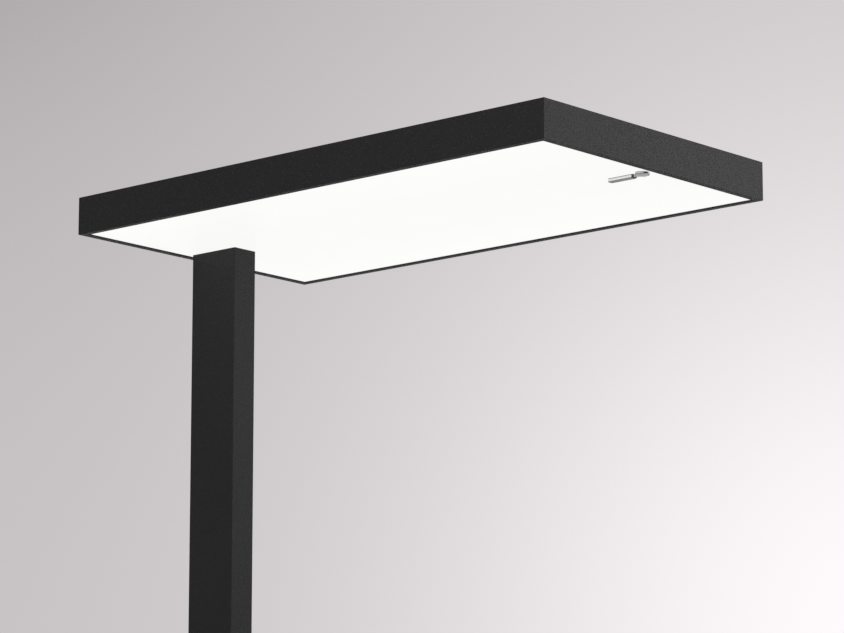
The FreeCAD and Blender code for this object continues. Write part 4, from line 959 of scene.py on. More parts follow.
@dataclass(frozen=True)
class Base:
    """The steel plate on the floor and the rubber sheet under it."""

    body: str = "lamp"
    plate_corner: float = 14 * MM
    plate_rounds: tuple[float, float] = (0.4 * MM, 1.6 * MM)
    sheet_corner: float = 10 * MM
    sheet_rounds: tuple[float, float] = (0.3 * MM, 0.3 * MM)
    corner_steps: int = 14

    def build(self, shop: Workshop) -> None:
        """Make both as slabs with rounded edges.

        Args:
            shop: The workshop with the frame's nodes.
        """
        rows = (
            ("base_slab", "base_plate", "black_powder_coat", self.plate_corner, self.plate_rounds),
            ("base_sheet", "base_pad", "black_rubber", self.sheet_corner, self.sheet_rounds),
        )
        for name, node, slot, corner, rounds in rows:
            low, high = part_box(node)
            shop.piece(name, slab(low, high, corner, rounds, self.corner_steps), slot, self.body, (node,))
        shop.dress("plated_steel", "foot_screws")


@dataclass(frozen=True)
class SocketScrew:
    """A screw's surface: its shank, a head of a given form and a hexagonal socket in the head."""

    shank: float
    head: float
    head_height: float
    length: float
    countersunk: bool = False
    edge: float = 0.1 * MM
    socket_share: float = 1.15
    socket_depth: float = 0.9
    bevel_share: float = 0.12
    rim_share: float = 0.45
    crown_share: float = 0.75
    dome_steps: int = 7
    spokes: int = 36

    def patch(self) -> Patch:
        """The screw along Z with its head's seat or flush face at height 0.

        A ring's radius is a blend of a circle and a hexagon. It is a circle all the way up the shank and
        over the head, and a hexagon from the socket's rim down to its floor.

        Returns:
            The screw as a closed patch.
        """
        socket = self.socket_share * self.shank
        bevel = self.bevel_share * self.shank
        if self.countersunk:
            top = 0.0
            seat = (self.shank, -(self.head - self.shank))
            sides = [seat, (self.head, -self.edge), (self.head - self.edge, 0.0)]
        else:
            top = self.head_height
            rim = self.rim_share * self.head_height
            seat = (self.shank, 0.0)
            crown = (self.crown_share * self.head, top)
            dome = arc_points((self.head, rim), crown, Bulge.RADIUS_LATE, self.dome_steps)
            sides = [seat, (self.head - self.edge, 0.0), (self.head, self.edge), *dome.tolist()]
        tip = [(self.shank - 2 * bevel, -self.length), (self.shank, 2 * bevel - self.length)]
        outside = np.array(tip + sides + [(socket + bevel, top)])
        floor = [(socket, top - self.socket_depth * self.shank), (0.1 * socket, top - self.shank)]
        inside = np.array([(socket, top - bevel), *floor])
        points = np.concatenate([outside, inside])
        across_flats = 2 * math.cos(SIXTH / 2) * points[:, :1]
        hexagon = hexagon_radius(across_flats, spoke_angles(self.spokes))
        is_socket = np.arange(len(points))[:, None] >= len(outside)
        radius = np.where(is_socket, hexagon, points[:, :1])
        return loft(turned_rings(radius, points[:, 1], self.spokes))


@dataclass(frozen=True)
class Post:
    """The rectangular tube, its inserts and their screws, and the lead inside."""

    body: str = "lamp"
    screw: SocketScrew = SocketScrew(2 * MM, 4 * MM, 0.0, 14 * MM, countersunk=True)
    block_height: float = 40 * MM
    screw_pitch: float = 18 * MM

    def build(self, shop: Workshop) -> None:
        """Dress the tube and its inserts, and make the four screws in its rear face.

        Args:
            shop: The workshop with the frame's nodes.
        """
        shop.dress("black_powder_coat", "post_tube")
        shop.dress("bare_aluminium", "post_foot_block", "post_head_block")
        shop.dress("white_plastic", "inlet_terminal")
        shop.dress("cable_sheath", "post_lead")
        shop.dress("black_rubber", "lead_grommet")
        low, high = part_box("post_tube")
        middles = [low.z + self.block_height / 2, high.z - self.block_height / 2]
        heights = [middle + side * self.screw_pitch / 2 for middle in middles for side in (-1, 1)]
        spots = [(low.x, 0.0, height) for height in heights]
        patch = self.screw.patch().turned(FACING_BACK, spots)
        shop.piece("tube_screws", patch, "black_steel", self.body, ("block_screws",))


@dataclass(frozen=True)
class CordGland:
    """The cord entry low in the post's rear face, along -X: hexagonal body, ribbed cap and seal."""

    body: str = "lamp"
    across_flats: float = 19 * MM
    face_share: float = 0.47
    chamfer: float = 0.8 * MM
    flange: float = 5 * MM
    neck: float = 7.5 * MM
    neck_end: float = 13 * MM
    neck_edge: float = 0.4 * MM
    thread: float = 8 * MM
    thread_edge: float = 0.6 * MM
    inner_length: float = 11 * MM
    bore: float = 5 * MM
    cap_radius: float = 9.5 * MM
    cap_start: float = 5.3 * MM
    cap_end: float = 18 * MM
    cap_mouth: float = 4.5 * MM
    cap_edge: float = 0.3 * MM
    cap_shoulder: float = 4 * MM
    mouth_flat: tuple[float, float] = (1.0 * MM, 1.4 * MM)
    mouth_depths: tuple[float, float, float] = (0.8 * MM, 2.4 * MM, 3.8 * MM)
    clearance: float = 0.1 * MM
    ribs: int = 24
    rib_depth: float = 0.45 * MM
    rib_steps: int = 12
    seal_radius: float = 5.9 * MM
    seal_bore: float = 3.6 * MM
    seal_span: tuple[float, float] = (7 * MM, 14 * MM)
    seal_rounds: tuple[float, ...] = (0.3 * MM, 0.2 * MM, 0.6 * MM, 0.5 * MM)
    spokes: int = 192

    def build(self, shop: Workshop) -> None:
        """Make the three outer pieces at the entry and dress the nut inside the tube.

        Args:
            shop: The workshop with the frame's nodes.
        """
        low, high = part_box("gland_seal")
        middle = (low + high) / 2
        spot = [(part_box("post_tube")[0].x, middle.y, middle.z)]
        rows = (
            ("cord_gland", self.gland(), "black_plastic", "gland_body"),
            ("cord_gland_cap", self.cap(), "black_plastic", "gland_cap"),
            ("cord_gland_seal", self.seal(), "black_rubber", "gland_seal"),
        )
        for name, patch, slot, node in rows:
            shop.piece(name, patch.turned(FACING_BACK, spot), slot, self.body, (node,))
        shop.dress("black_plastic", "gland_locknut")

    def gland(self) -> Patch:
        """The body: a thread, a hexagonal flange with its corners turned down, and a neck round the bore.

        The flange's radius is the smaller of a hexagon's and a cone's, which leaves the round washer
        face that a turned hexagon has.

        Returns:
            The body as a closed patch about Z, with the flange at height 0.
        """
        corner = self.across_flats / math.sqrt(3)
        face = self.face_share * self.across_flats
        pocket = self.seal_radius + self.clearance
        outline = np.array(
            [
                (self.thread - self.thread_edge, -self.inner_length, 0),
                (self.thread, self.thread_edge - self.inner_length, 0),
                (self.thread, 0, 0),
                (face, 0, 1),
                (corner, self.chamfer, 1),
                (corner, self.flange - self.chamfer, 1),
                (face, self.flange, 1),
                (self.neck, self.flange, 0),
                (self.neck, self.neck_end - self.neck_edge, 0),
                (self.neck - self.neck_edge, self.neck_end, 0),
                (pocket, self.neck_end, 0),
                (pocket, self.seal_span[0], 0),
                (self.bore, self.seal_span[0], 0),
                (self.bore, -self.inner_length, 0),
            ]
        )
        hexagon = hexagon_radius(self.across_flats, spoke_angles(self.spokes))
        radius = np.where(outline[:, 2:] > 0, np.minimum(hexagon, outline[:, :1]), outline[:, :1])
        return loft(turned_rings(radius, outline[:, 1], self.spokes), closed=True)

    def cap(self) -> Patch:
        """The cap: a skirt with grip ribs, a round shoulder and a mouth.

        The skirt's radius falls by the ribs' depth times the square of sin of half the ribs' number
        times the angle, and that depth fades to nothing at both ends of the skirt.

        Returns:
            The cap as a closed patch about Z.
        """
        inner = self.neck + self.clearance
        (flat_start, flat_end), (lip, throat, roof) = self.mouth_flat, self.mouth_depths
        skirt_end = self.cap_end - self.cap_shoulder
        rise = np.linspace(0, 1, self.rib_steps)
        heights = self.cap_start + self.cap_edge + rise * (skirt_end - self.cap_start)
        skirt = np.stack([np.full_like(rise, self.cap_radius), heights], -1)
        shoulder = arc_points(
            (self.cap_radius, skirt_end + self.cap_edge),
            (self.cap_mouth + flat_end, self.cap_end),
            Bulge.RADIUS_LATE,
            10,
        )
        mouth = arc_points(
            (self.cap_mouth + flat_start, self.cap_end),
            (self.cap_mouth, self.cap_end - lip),
            Bulge.HEIGHT_LATE,
            5,
        )
        inside = [(self.cap_mouth, self.cap_end - throat), (self.seal_radius, self.cap_end - roof)]
        inside += [(inner, self.cap_end - roof), (inner, self.cap_start)]
        first = [(self.cap_radius - self.cap_edge, self.cap_start)]
        outline = np.concatenate([first, skirt, shoulder[1:], mouth, inside])
        depth = np.zeros(len(outline))
        depth[1 : 1 + len(skirt)] = np.clip(4 * np.minimum(rise, 1 - rise), 0, 1) * self.rib_depth
        wave = np.sin(self.ribs / 2 * spoke_angles(self.spokes)) ** 2
        radius = outline[:, :1] - depth[:, None] * wave
        return loft(turned_rings(radius, outline[:, 1], self.spokes), closed=True)

    def seal(self) -> Patch:
        """The seal: a thick rubber ring with rounded edges round the cord's bore.

        Returns:
            The seal as a closed patch about Z.
        """
        start, end = self.seal_span
        inner, outer = self.seal_bore, self.seal_radius
        section = np.array([(inner, start), (outer, start), (outer, end), (inner, end)])
        outline = filleted(section, np.array(self.seal_rounds), 5)
        return loft(turned_rings(outline[:, :1], outline[:, 1], self.spokes // 2), closed=True)


# ---------------------------------------------------------------- head


@dataclass(frozen=True)
class HeadFrame:
    """The four mitred profiles round the head, their corner keys and the sheet on their flanges."""

    body: str = "lamp"
    wall: float = 2 * MM
    rim: float = 7 * MM
    rim_thick: float = 1.5 * MM
    flange: tuple[float, float, float] = (8 * MM, 8 * MM, 9.5 * MM)
    ledge: tuple[float, float, float] = (10 * MM, 33 * MM, 35 * MM)
    channel: tuple[float, float, float] = (6 * MM, 14 * MM, 30 * MM)
    channel_rib: float = 1.5 * MM
    channel_lip: tuple[float, float] = (1 * MM, 2.5 * MM)
    outer_round: float = 0.45 * MM
    inner_round: float = 0.15 * MM
    arc_steps: int = 4

    def build(self, shop: Workshop) -> None:
        """Carry the section along the four sides, and dress what joins them.

        Args:
            shop: The workshop with the frame's nodes.
        """
        low, high = self.outline()
        sides = {
            "frame_side_right": ((low.x, low.y), 0),
            "frame_end_free": ((high.x, low.y), 1),
            "frame_side_left": ((high.x, high.y), 2),
            "frame_end_post": ((low.x, high.y), 3),
        }
        for node, (corner, quarter) in sides.items():
            length = high.y - low.y if quarter % 2 else high.x - low.x
            turn = Matrix.Rotation(quarter * QUARTER, 3, "Z")
            patch = self.profile(length).turned(turn, [(*corner, low.z)])
            name = node.replace("frame", "profile")
            shop.piece(name, patch, "black_powder_coat", self.body, (node,))
        shop.dress("bare_aluminium", "corner_keys")
        shop.dress("plated_steel", "corner_screws")

    def outline(self) -> tuple[Vector, Vector]:
        """The head's lowest and highest corners, from the profiles at its two ends.

        Returns:
            The two corners.
        """
        low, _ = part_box("frame_end_post")
        _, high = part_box("frame_end_free")
        return low, high

    def section(self) -> Array:
        """The profile's section, as (inset, level), with its corners rounded.

        Returns:
            The outline, an (N, 2) array.
        """
        low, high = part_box("frame_end_free")
        height = high.z - low.z
        wall, (flange, flange_low, flange_high) = self.wall, self.flange
        (ledge, ledge_low, ledge_high), (channel, channel_low, channel_high) = self.ledge, self.channel
        lip, lip_height = self.channel_lip
        low_rib, high_rib = channel_low + self.channel_rib, channel_high - self.channel_rib
        corners = [(0, 0), (self.rim, 0), (self.rim, self.rim_thick), (wall, self.rim_thick)]
        corners += [(wall, flange_low), (flange, flange_low), (flange, flange_high), (wall, flange_high)]
        corners += [(wall, channel_low), (channel, channel_low), (channel, low_rib + lip_height)]
        corners += [(channel - lip, low_rib + lip_height), (channel - lip, low_rib), (wall, low_rib)]
        corners += [(wall, high_rib), (channel - lip, high_rib), (channel - lip, high_rib - lip_height)]
        corners += [(channel, high_rib - lip_height), (channel, channel_high), (wall, channel_high)]
        corners += [(wall, ledge_low), (ledge, ledge_low), (ledge, ledge_high), (wall, ledge_high)]
        corners += [(wall, height), (0, height)]
        radius = np.full(len(corners), self.inner_round)
        radius[[0, 1, 2, -1, -2]] = self.outer_round
        return filleted(np.array(corners), radius, self.arc_steps)

    def profile(self, length: float) -> Patch:
        """One side along X from the origin: the section, with each end cut off at 45 degrees.

        A point of the section that is in by u starts at x = u and ends at x = length - u.

        Args:
            length: The side's outer length.

        Returns:
            The side as a closed patch.
        """
        inset, level = self.section().T
        ends = [np.stack([x, inset, level], -1) for x in (inset, length - inset)]
        return loft(np.stack(ends))


@dataclass(frozen=True)
class TopCover:
    """The recessed cover with its two slots, the frosted windows under them and the cover's screws."""

    body: str = "lamp"
    sheet_corner: float = 0.4 * MM
    slot_half: tuple[float, float] = (220 * MM, 22 * MM)
    slot_offset: float = 89 * MM
    slot_corner: float = 6 * MM
    edge: float = 0.4 * MM
    window_round: float = 0.4 * MM
    screw: SocketScrew = SocketScrew(1.5 * MM, 2.8 * MM, 1.4 * MM, 3.5 * MM)
    screw_inset: float = 6.5 * MM
    screw_reach: float = 0.84
    steps: int = 8

    def build(self, shop: Workshop) -> None:
        """Make the sheet, the windows and the screws.

        Args:
            shop: The workshop with the frame's nodes.
        """
        low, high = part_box("top_cover")
        half = self.half(low, high)
        cover = joined(half, half.turned(Matrix.Diagonal((1, -1, 1)), [(0, 0, 0)]))
        shop.piece("cover_panel", cover, "black_powder_coat", self.body, ("top_cover",))
        for side in ("left", "right"):
            node = f"uplight_window_{side}"
            window = slab(*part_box(node), self.window_round, (self.window_round, self.window_round), 5)
            shop.piece(f"glow_window_{side}", window, "frosted_window", self.body, (node,))
        spots = self.screw_spots(high.z)
        screws = self.screw.patch().turned(Matrix.Identity(3), spots)
        shop.piece("panel_screws", screws, "black_steel", self.body, ("cover_screws",))

    def half(self, low: Vector, high: Vector) -> Patch:
        """The sheet's left half, from its middle line to its long edge, round one slot.

        Its rings run from the outer edge over the top to the slot, down the slot's rounded edge, and back
        under the sheet. The wall along the middle line is left out, because the other half goes on there.

        Args:
            low: The sheet's lowest corner.
            high: The sheet's highest corner.

        Returns:
            The half as a patch, open along the middle line.
        """
        middle = np.array([(low.x + high.x) / 2, self.slot_offset])
        half = np.array(self.slot_half)
        inset, height = edge_curve(low.z, high.z, self.edge, self.edge, 4)
        slot_low = middle - half - inset[::-1, None]
        slot_high = middle + half + inset[::-1, None]
        slots = rounded_rings(slot_low, slot_high, self.slot_corner + inset[::-1], self.steps)
        outer_in = np.array([0.0, self.edge, self.edge, 0.0])[:, None]
        levels = np.array([high.z - self.edge, high.z, low.z, low.z + self.edge])
        outer_low = np.array([low.x, 0.0]) + outer_in * np.array([1.0, 0.0])
        outer_high = np.array(high.xy) - outer_in
        radius = np.tile([self.sheet_corner, self.sheet_corner, 0.0, 0.0], (len(levels), 1))
        outer = rounded_rings(outer_low, outer_high, radius, self.steps)
        outlines = np.concatenate([outer[:2], slots, outer[2:]])
        heights = np.concatenate([levels[:2], height[::-1], levels[2:]])
        patch = loft(placed(outlines, heights), closed=True)
        on_middle = np.abs(patch.points[:, 1]) < WELD
        faces = [face for face in patch.faces if not on_middle[face].all()]
        return Patch(patch.points, faces)

    def screw_spots(self, top: float) -> Array:
        """The screws' places on the ledge: four on each long side, two at the free end, one at the post.

        Args:
            top: The ledge's height.

        Returns:
            The places, an (N, 3) array.
        """
        low, high = HeadFrame().outline()
        margin = (1 - self.screw_reach) / 2
        along = low.x + (high.x - low.x) * np.linspace(margin, 1 - margin, 4)
        across = low.y + (high.y - low.y) * np.array([margin, 1 - margin])
        near, far = low.y + self.screw_inset, high.y - self.screw_inset
        spots = [(x, y) for x in along for y in (near, far)]
        spots += [(high.x - self.screw_inset, y) for y in across]
        spots.append((low.x + self.screw_inset, (low.y + high.y) / 2))
        return np.array([(x, y, top) for x, y in spots])


@dataclass(frozen=True)
class LightChamber:
    """What lies between the frame's rim and the tray, and the plate that ties the head to the post."""

    rows: tuple[tuple[str, ...], ...] = (
        ("light_panel", "diffuser"),
        ("clear_acrylic", "light_guide"),
        ("white_film", "reflector_sheet"),
        ("grey_foam", "foam_spacer"),
        ("bare_aluminium", "back_tray"),
        ("plated_steel", "head_mount_plate", "tray_screws", "plate_screws", "post_screws"),
        ("circuit_board", "downlight_strip_left", "downlight_strip_right"),
        ("led_phosphor", "downlight_leds"),
    )

    def build(self, shop: Workshop) -> None:
        """Dress every sheet, strip and screw."""
        for row in self.rows:
            shop.dress(*row)


@dataclass(frozen=True)
class Electrics:
    """The uplight, the driver, the terminal and the wires above the tray."""

    board_green: Colour = (0.03, 0.16, 0.07)
    rows: tuple[tuple[str, ...], ...] = (
        ("bare_aluminium", "uplight_rail_left", "uplight_rail_right"),
        ("circuit_board", "uplight_board_left", "uplight_board_right"),
        ("led_phosphor", "uplight_leds"),
        ("white_plastic", "driver_case", "driver_lid", "mains_terminal"),
        ("plated_steel", "driver_screws"),
        ("core_insulation", "mains_wires", "led_leads"),
        ("cable_sheath", "control_lead"),
        ("black_plastic", "lead_clips"),
    )

    def build(self, shop: Workshop) -> None:
        """Dress every node, with a green mask on the driver's own board.

        Args:
            shop: The workshop with the frame's nodes.
        """
        for row in self.rows:
            shop.dress(*row)
        shop.dress(CircuitBoard("circuit_board", mask=self.board_green), "driver_board")


# ---------------------------------------------------------------- dimmer lever


@dataclass(frozen=True)
class DimmerLever:
    """The bright lever under the free end, which turns about its hub, and the fixed dimmer above."""

    body: str = "lever"
    hub_radius: float = 7 * MM
    hub_span: tuple[float, float] = (-2.0 * MM, 1.2 * MM)
    hub_edge: float = 0.3 * MM
    dome: float = 0.45 * MM
    shoulder: float = 1.1 * MM
    shaft: float = 3 * MM
    groove: tuple[float, float, float] = (2.4 * MM, 14.15 * MM, 15.05 * MM)
    arm_end: float = 8.8 * MM
    arm_half: float = 2.2 * MM
    arm_span: tuple[float, float] = (-1.9 * MM, 0.8 * MM)
    collar_span: tuple[float, float] = (8.8 * MM, 10.4 * MM)
    collar_groove: float = 0.25 * MM
    collar_steps: int = 9
    bar_root: float = 10.4 * MM
    bar_edge: float = 0.5 * MM
    tip_round: float = 1.2 * MM
    tip_flatness: float = 0.35
    neck: float = 1 * MM
    neck_depth: float = 3 * MM
    # Bands of painted shade and dark reflection: on the hub's side above and below the pivot's height, and
    # along the handle's top and bottom edges.
    hub_shade_band: tuple[float, float] = (0.35 * MM, 1.25 * MM)
    bar_shade_band: float = 0.9 * MM
    steps: int = 7
    spokes: int = 96

    def build(self, shop: Workshop) -> None:
        """Make the three pieces that show, and dress the ferrule and what is above the tray.

        Args:
            shop: The workshop with the frame's nodes.
        """
        pivot = np.array(shop.joints[0]["pos_m"])
        low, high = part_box("lever_bar")
        middle, half = (low.z + high.z) / 2, (high.z - low.z) / 2
        polished = ShadeBandMetal("polished_metal", roughness=0.1, line=0.12 * MM, depth=0.0008 * MM)
        # Painted shade and dark reflection along the hub's side and the handle's top and bottom edges.
        hub_metal = replace(polished, middle=pivot[2], band=self.hub_shade_band, patch=1.5 * MM, patchiness=0.6)
        bar_metal = replace(polished, middle=middle, band=(half - self.bar_shade_band, half), patch=4 * MM)
        rows = (
            ("lever_hub", self.hub(pivot[2]), "polished_metal", "lever_spindle", hub_metal),
            ("lever_handle", self.handle(pivot), "polished_metal", "lever_bar", bar_metal),
            ("lever_ring", self.ring(pivot), "black_plastic", "lever_collar", FINISHES["black_plastic"]),
        )
        for name, patch, slot, node, finish in rows:
            patch = patch.turned(Matrix.Identity(3), pivot[None, :])
            shop.piece(name, patch, slot, self.body, (node,), finish)
        shop.dress("bush_brass", "lever_ferrule")
        shop.dress("black_plastic", "dimmer_rotor", "dimmer_housing", "dimmer_lid")
        shop.dress("plated_steel", "spindle_clip", "dimmer_screws")
        shop.dress("circuit_board", "dimmer_board")

    def hub(self, bottom: float) -> Patch:
        """The domed hub with its shaft, and the short arm towards the handle.

        The hub is a surface of revolution: a quarter ellipse from the dome's middle out to its side, the
        side, and the shaft with the clip's groove. The arm is a rounded rectangle carried along X.

        Args:
            bottom: The height of the hub's pivot.

        Returns:
            The hub and its arm as one patch about the pivot.
        """
        low, high = self.hub_span
        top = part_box("lever_spindle")[1].z - bottom
        groove, groove_low, groove_high = self.groove
        dome = arc_points(
            (0.04 * self.hub_radius, low - self.dome),
            (self.hub_radius, low + self.shoulder),
            Bulge.HEIGHT_LATE,
            22,
        )
        shaft = [
            (self.hub_radius, high - self.hub_edge),
            (self.hub_radius - self.hub_edge, high),
            (self.shaft, high),
            (self.shaft, groove_low),
            (groove, groove_low),
            (groove, groove_high),
            (self.shaft, groove_high),
            (self.shaft, top - self.hub_edge),
            (self.shaft - self.hub_edge, top),
        ]
        outline = np.concatenate([dome, shaft])
        hub = loft(turned_rings(outline[:, :1], outline[:, 1], self.spokes))
        arm_low = np.array([-self.arm_half, self.arm_span[0]])
        arm_high = np.array([self.arm_half, self.arm_span[1]])
        arm_span = (0.4 * self.hub_radius, self.arm_end)
        return joined(hub, self.beam(arm_low, arm_high, self.bar_edge, arm_span, 0.0))

    def beam(
        self, low: Array, high: Array, edge: float, span: tuple[float, float], tip: float
    ) -> Patch:
        """A rounded rectangle carried along -X, drawn in at its far end by a quarter circle.

        Args:
            low: The section's lowest corner, as (y, level).
            high: Its highest corner.
            edge: The radius of its four long edges.
            span: The distances from the hub's axis at which it starts and ends.
            tip: The radius that rounds its far end.

        Returns:
            The beam as a closed patch. At a distance u past the start of the end's arc, each side is in by
            tip - sqrt(tip * tip - u * u), and the top and bottom by a share of that.
        """
        start, end = span
        angle = np.linspace(0, QUARTER, self.steps if tip else 1)
        reach = np.concatenate([[start], end - tip + tip * np.sin(angle)])
        inset = np.concatenate([[0.0], tip * (1 - np.cos(angle))])
        drawn = inset[:, None] * np.array([1.0, self.tip_flatness])
        outlines = rounded_rings(low + drawn, high - drawn, np.full(len(reach), edge), self.steps)
        return loft(placed(outlines, -reach, first=True))

    def handle(self, pivot: Array) -> Patch:
        """The flat bar with its round neck, which runs through the ring into the hub's arm.

        Args:
            pivot: The lever's pivot, an (x, y, z) array.

        Returns:
            The bar and its neck as one patch about the pivot.
        """
        low, high = self.section("lever_bar", pivot)
        length = pivot[0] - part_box("lever_bar")[0].x
        bar = self.beam(low, high, self.bar_edge, (self.bar_root, length), self.tip_round)
        middle = sum(self.hub_span) / 2
        start, end = self.arm_end - self.neck_depth, self.bar_root + self.bar_edge
        neck_low = np.array([-self.neck, middle - self.neck])
        neck_high = np.array([self.neck, middle + self.neck])
        return joined(bar, self.beam(neck_low, neck_high, 0.99 * self.neck, (start, end), 0.0))

    def ring(self, pivot: Array) -> Patch:
        """The dark ring between hub and handle, a rounded rectangle with a shallow groove round its middle.
        Its dark plastic is a real spacer, and also stands in as painted shade for the shadow line at the
        handle's root.

        It is carried along X and drawn in by the groove's depth times the square of sin along its length.

        Args:
            pivot: The lever's pivot, an (x, y, z) array.

        Returns:
            The ring as a patch about the pivot.
        """
        low, high = self.section("lever_collar", pivot)
        share = np.linspace(0, 1, self.collar_steps)[:, None]
        start, end = self.collar_span
        inset = self.collar_groove * np.sin(math.pi * share) ** 2
        outlines = rounded_rings(low + inset, high - inset, self.bar_edge - inset, self.steps)
        return loft(placed(outlines, -(start + share[:, 0] * (end - start)), first=True))

    def section(self, node: str, pivot: Array) -> tuple[Array, Array]:
        """A node's lowest and highest corners across X, as (y, level) from the pivot."""
        low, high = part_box(node)
        return np.array(low.yz) - pivot[1:], np.array(high.yz) - pivot[1:]


# ---------------------------------------------------------------- studio


@dataclass(frozen=True)
class Lobe:
    """A soft round area of painted light on the backdrop where its amount is above nothing, and of painted
    shade where it is below.
    """

    towards: tuple[float, float, float]
    amount: float
    sharpness: float


@dataclass(frozen=True)
class Backdrop:
    """The pale surroundings: what the eye and bright metal see, with a lobe of painted light and one of
    painted shade, and the plain light on dull surfaces.
    """

    level: float = 0.548
    # One lobe of painted light towards the lit part of the backdrop, and one of painted shade towards its
    # dark upper corner.
    painted_lobes: tuple[Lobe, ...] = (
        Lobe((-0.5505, 0.8280, 0.1063), 0.4176, 107.4),
        Lobe((-0.7332, 0.4797, 0.4821), -0.8, 50.8),
    )
    tint: Colour = (1.045, 1.0, 1.02)
    ambient: float = 0.215

    def build(self) -> None:
        """Make the world.

        The seen level is the plain level plus each lobe's painted light (a positive amount) and painted shade
        (a negative one): its amount times a power of the cosine between the direction and the lobe's own.
        Rays that light dull surfaces get the ambient level instead.
        """
        world = bpy.data.worlds.new("studio_world")
        bpy.context.scene.world = world
        world.use_nodes = True
        world.node_tree.nodes.clear()
        tree = Nodes(world.node_tree)
        direction = tree.add("ShaderNodeTexCoord").outputs["Generated"]
        level: Socket | float = self.level
        for lobe in self.painted_lobes:
            dot = tree.add("ShaderNodeVectorMath", operation="DOT_PRODUCT")
            tree.feed(dot, i0=direction, i1=lobe.towards)
            cosine = tree.sum("MAXIMUM", dot.outputs["Value"], 0.0)
            power = tree.sum("POWER", cosine, lobe.sharpness)
            level = tree.sum("ADD", level, tree.sum("MULTIPLY", power, lobe.amount))
        top = max(self.tint)
        seen, unseen = tree.add("ShaderNodeBackground"), tree.add("ShaderNodeBackground")
        tree.feed(seen, Color=(*scaled(self.tint, 1 / top), 1.0), Strength=tree.sum("MULTIPLY", level, top))
        tree.feed(unseen, Strength=self.ambient)
        mix = tree.add("ShaderNodeMixShader")
        tree.feed(mix, i0=tree.shown(), i1=unseen.outputs[0], i2=seen.outputs[0])
        tree.feed(tree.add("ShaderNodeOutputWorld"), Surface=mix.outputs[0])


@dataclass(frozen=True)
class Floor:
    """A wide, plain, pale floor."""

    radius: float = 90.0
    rings: int = 12
    spokes: int = 96
    colour: Colour = (0.75, 0.725, 0.735)
    cloud: float = 0.6
    unevenness: float = 0.015
    fade: tuple[float, float] = (2.5, 26.0)

    def build(self) -> None:
        """Make a disc whose rings grow with the square of their number.

        Away from the lamp its paint gives way to the backdrop's own level, so that no line shows where the
        two meet.
        """
        share = np.linspace(0.02, 1, self.rings) ** 2
        rings = turned_rings(self.radius * share[:, None], np.full(self.rings, 0.0), self.spokes)
        grid = loft(rings)
        mesh = bpy.data.meshes.new("studio_floor")
        mesh.from_pydata(grid.points.tolist(), [], grid.faces[:-1])
        tree = Tree("floor_paint")
        low, high = (scaled(self.colour, 1 + side * self.unevenness) for side in (-1, 1))
        base = tree.blend(tree.noise(self.cloud, 3), low, high)
        away = tree.feed(tree.add("ShaderNodeVectorMath", operation="LENGTH"), i0=tree.place).outputs["Value"]
        reach = tree.add("ShaderNodeMapRange", interpolation_type="SMOOTHSTEP")
        far = tree.feed(reach, i0=away, i1=self.fade[0], i2=self.fade[1]).outputs[0]
        backdrop = Backdrop()
        faded = tree.sum("MULTIPLY", tree.shown(), far)
        light = tree.sum("MULTIPLY", faded, backdrop.level)
        paint = tree.blend(faded, base, (0.0, 0.0, 0.0))
        glow = (*backdrop.tint, 1.0)
        mesh.materials.append(
            tree.shade(
                Base_Color=paint,
                Roughness=1.0,
                Specular_IOR_Level=0.0,
                Emission_Color=glow,
                Emission_Strength=light,
            )
        )
        floor = bpy.data.objects.new("studio_floor", mesh)
        bpy.context.scene.collection.objects.link(floor)


@dataclass(frozen=True)
class SoftBox:
    """A square softbox, whose level is the brightness that it gives a white card facing it at its target."""

    name: str
    place: tuple[float, float, float]
    target: tuple[float, float, float]
    side: float
    level: float

    def build(self) -> None:
        """Make the light. At a distance d, a level of 1 takes pi squared times d squared watts."""
        aim = Vector(self.target) - Vector(self.place)
        lamp = bpy.data.lights.new(self.name, "AREA")
        lamp.shape = "SQUARE"
        lamp.size = self.side
        lamp.energy = self.level * math.pi**2 * aim.length_squared
        thing = bpy.data.objects.new(self.name, lamp)
        thing.location = self.place
        thing.rotation_euler = aim.to_track_quat("-Z", "Y").to_euler()
        thing.visible_camera = False
        bpy.context.scene.collection.objects.link(thing)


@dataclass(frozen=True)
class WideLight:
    """A far, very wide light without pools, whose level is the brightness of a white card facing it."""

    name: str
    direction: tuple[float, float, float]
    width: float
    level: float

    def build(self) -> None:
        """Make the light. A level of 1 takes an irradiance of pi watts per square metre."""
        lamp = bpy.data.lights.new(self.name, "SUN")
        lamp.angle = math.radians(self.width)
        lamp.energy = self.level * math.pi
        thing = bpy.data.objects.new(self.name, lamp)
        thing.rotation_euler = Vector(self.direction).to_track_quat("-Z", "Y").to_euler()
        bpy.context.scene.collection.objects.link(thing)


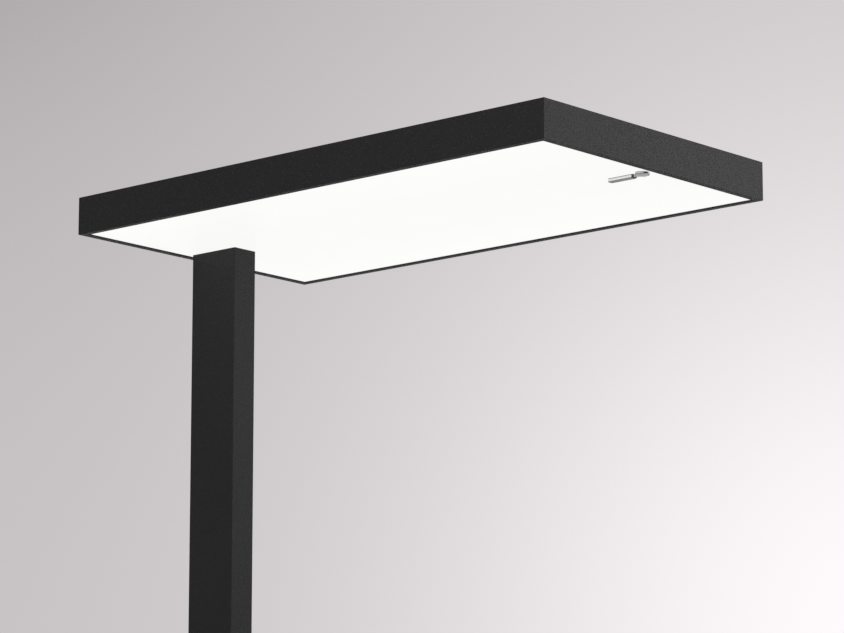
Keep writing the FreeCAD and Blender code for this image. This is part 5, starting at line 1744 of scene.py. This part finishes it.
@dataclass(frozen=True)
class Studio:
    """Backdrop, floor, soft lights and the camera at the photograph's place."""

    camera_place: tuple[float, float, float] = (2.5414, -2.5780, 1.1345)
    camera_rise: float = 11.169
    camera_turn: float = 41.392
    focal_pixels: float = 3623.5
    lights: tuple[SoftBox | WideLight, ...] = (
        SoftBox("key_light", (1.2, 0.5, 2.0), (0.56, 0.0, 1.93), 0.6, 1.2),
        SoftBox("rim_light", (1.1, -1.2, 2.05), (0.4, -0.16, 1.93), 0.5, 0.3),
        WideLight("top_light", (0.2, -0.2, -1.0), 30.0, 0.37),
        WideLight("back_light", (0.7, -0.6, -0.35), 60.0, 0.45),
    )

    def build(self) -> None:
        """Set the studio up and look through the camera."""
        Backdrop().build()
        Floor().build()
        for light in self.lights:
            light.build()
        lens = bpy.data.cameras.new("photo_camera")
        lens.sensor_width = SENSOR_WIDTH
        lens.lens = self.focal_pixels / IMAGE_WIDTH * SENSOR_WIDTH
        lens.clip_end = 300.0
        camera = bpy.data.objects.new("photo_camera", lens)
        camera.location = self.camera_place
        camera.rotation_euler = (math.radians(90 + self.camera_rise), 0.0, math.radians(self.camera_turn))
        bpy.context.scene.collection.objects.link(camera)
        bpy.context.scene.camera = camera
        bpy.context.scene.view_settings.view_transform = "Standard"
        log.info("studio: %d lights", len(self.lights))


@dataclass(frozen=True)
class FloorLamp:
    """The whole lamp, as its sub-assemblies in the order in which they are made."""

    parts: tuple[object, ...] = field(
        default_factory=lambda: (
            Base(),
            Post(),
            CordGland(),
            HeadFrame(),
            TopCover(),
            LightChamber(),
            Electrics(),
            DimmerLever(),
        )
    )

    def build(self, shop: Workshop) -> None:
        """Build each sub-assembly in turn."""
        for part in self.parts:
            part.build(shop)
            log.info("%s is done", type(part).__name__)


def main() -> None:
    """Load the frame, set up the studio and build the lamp."""
    logging.basicConfig(level=logging.INFO, format="%(name)s: %(message)s")
    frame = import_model()
    Studio().build()
    FloorLamp().build(Workshop(frame))
    bpy.context.view_layer.update()


if __name__ == "__main__":
    main()
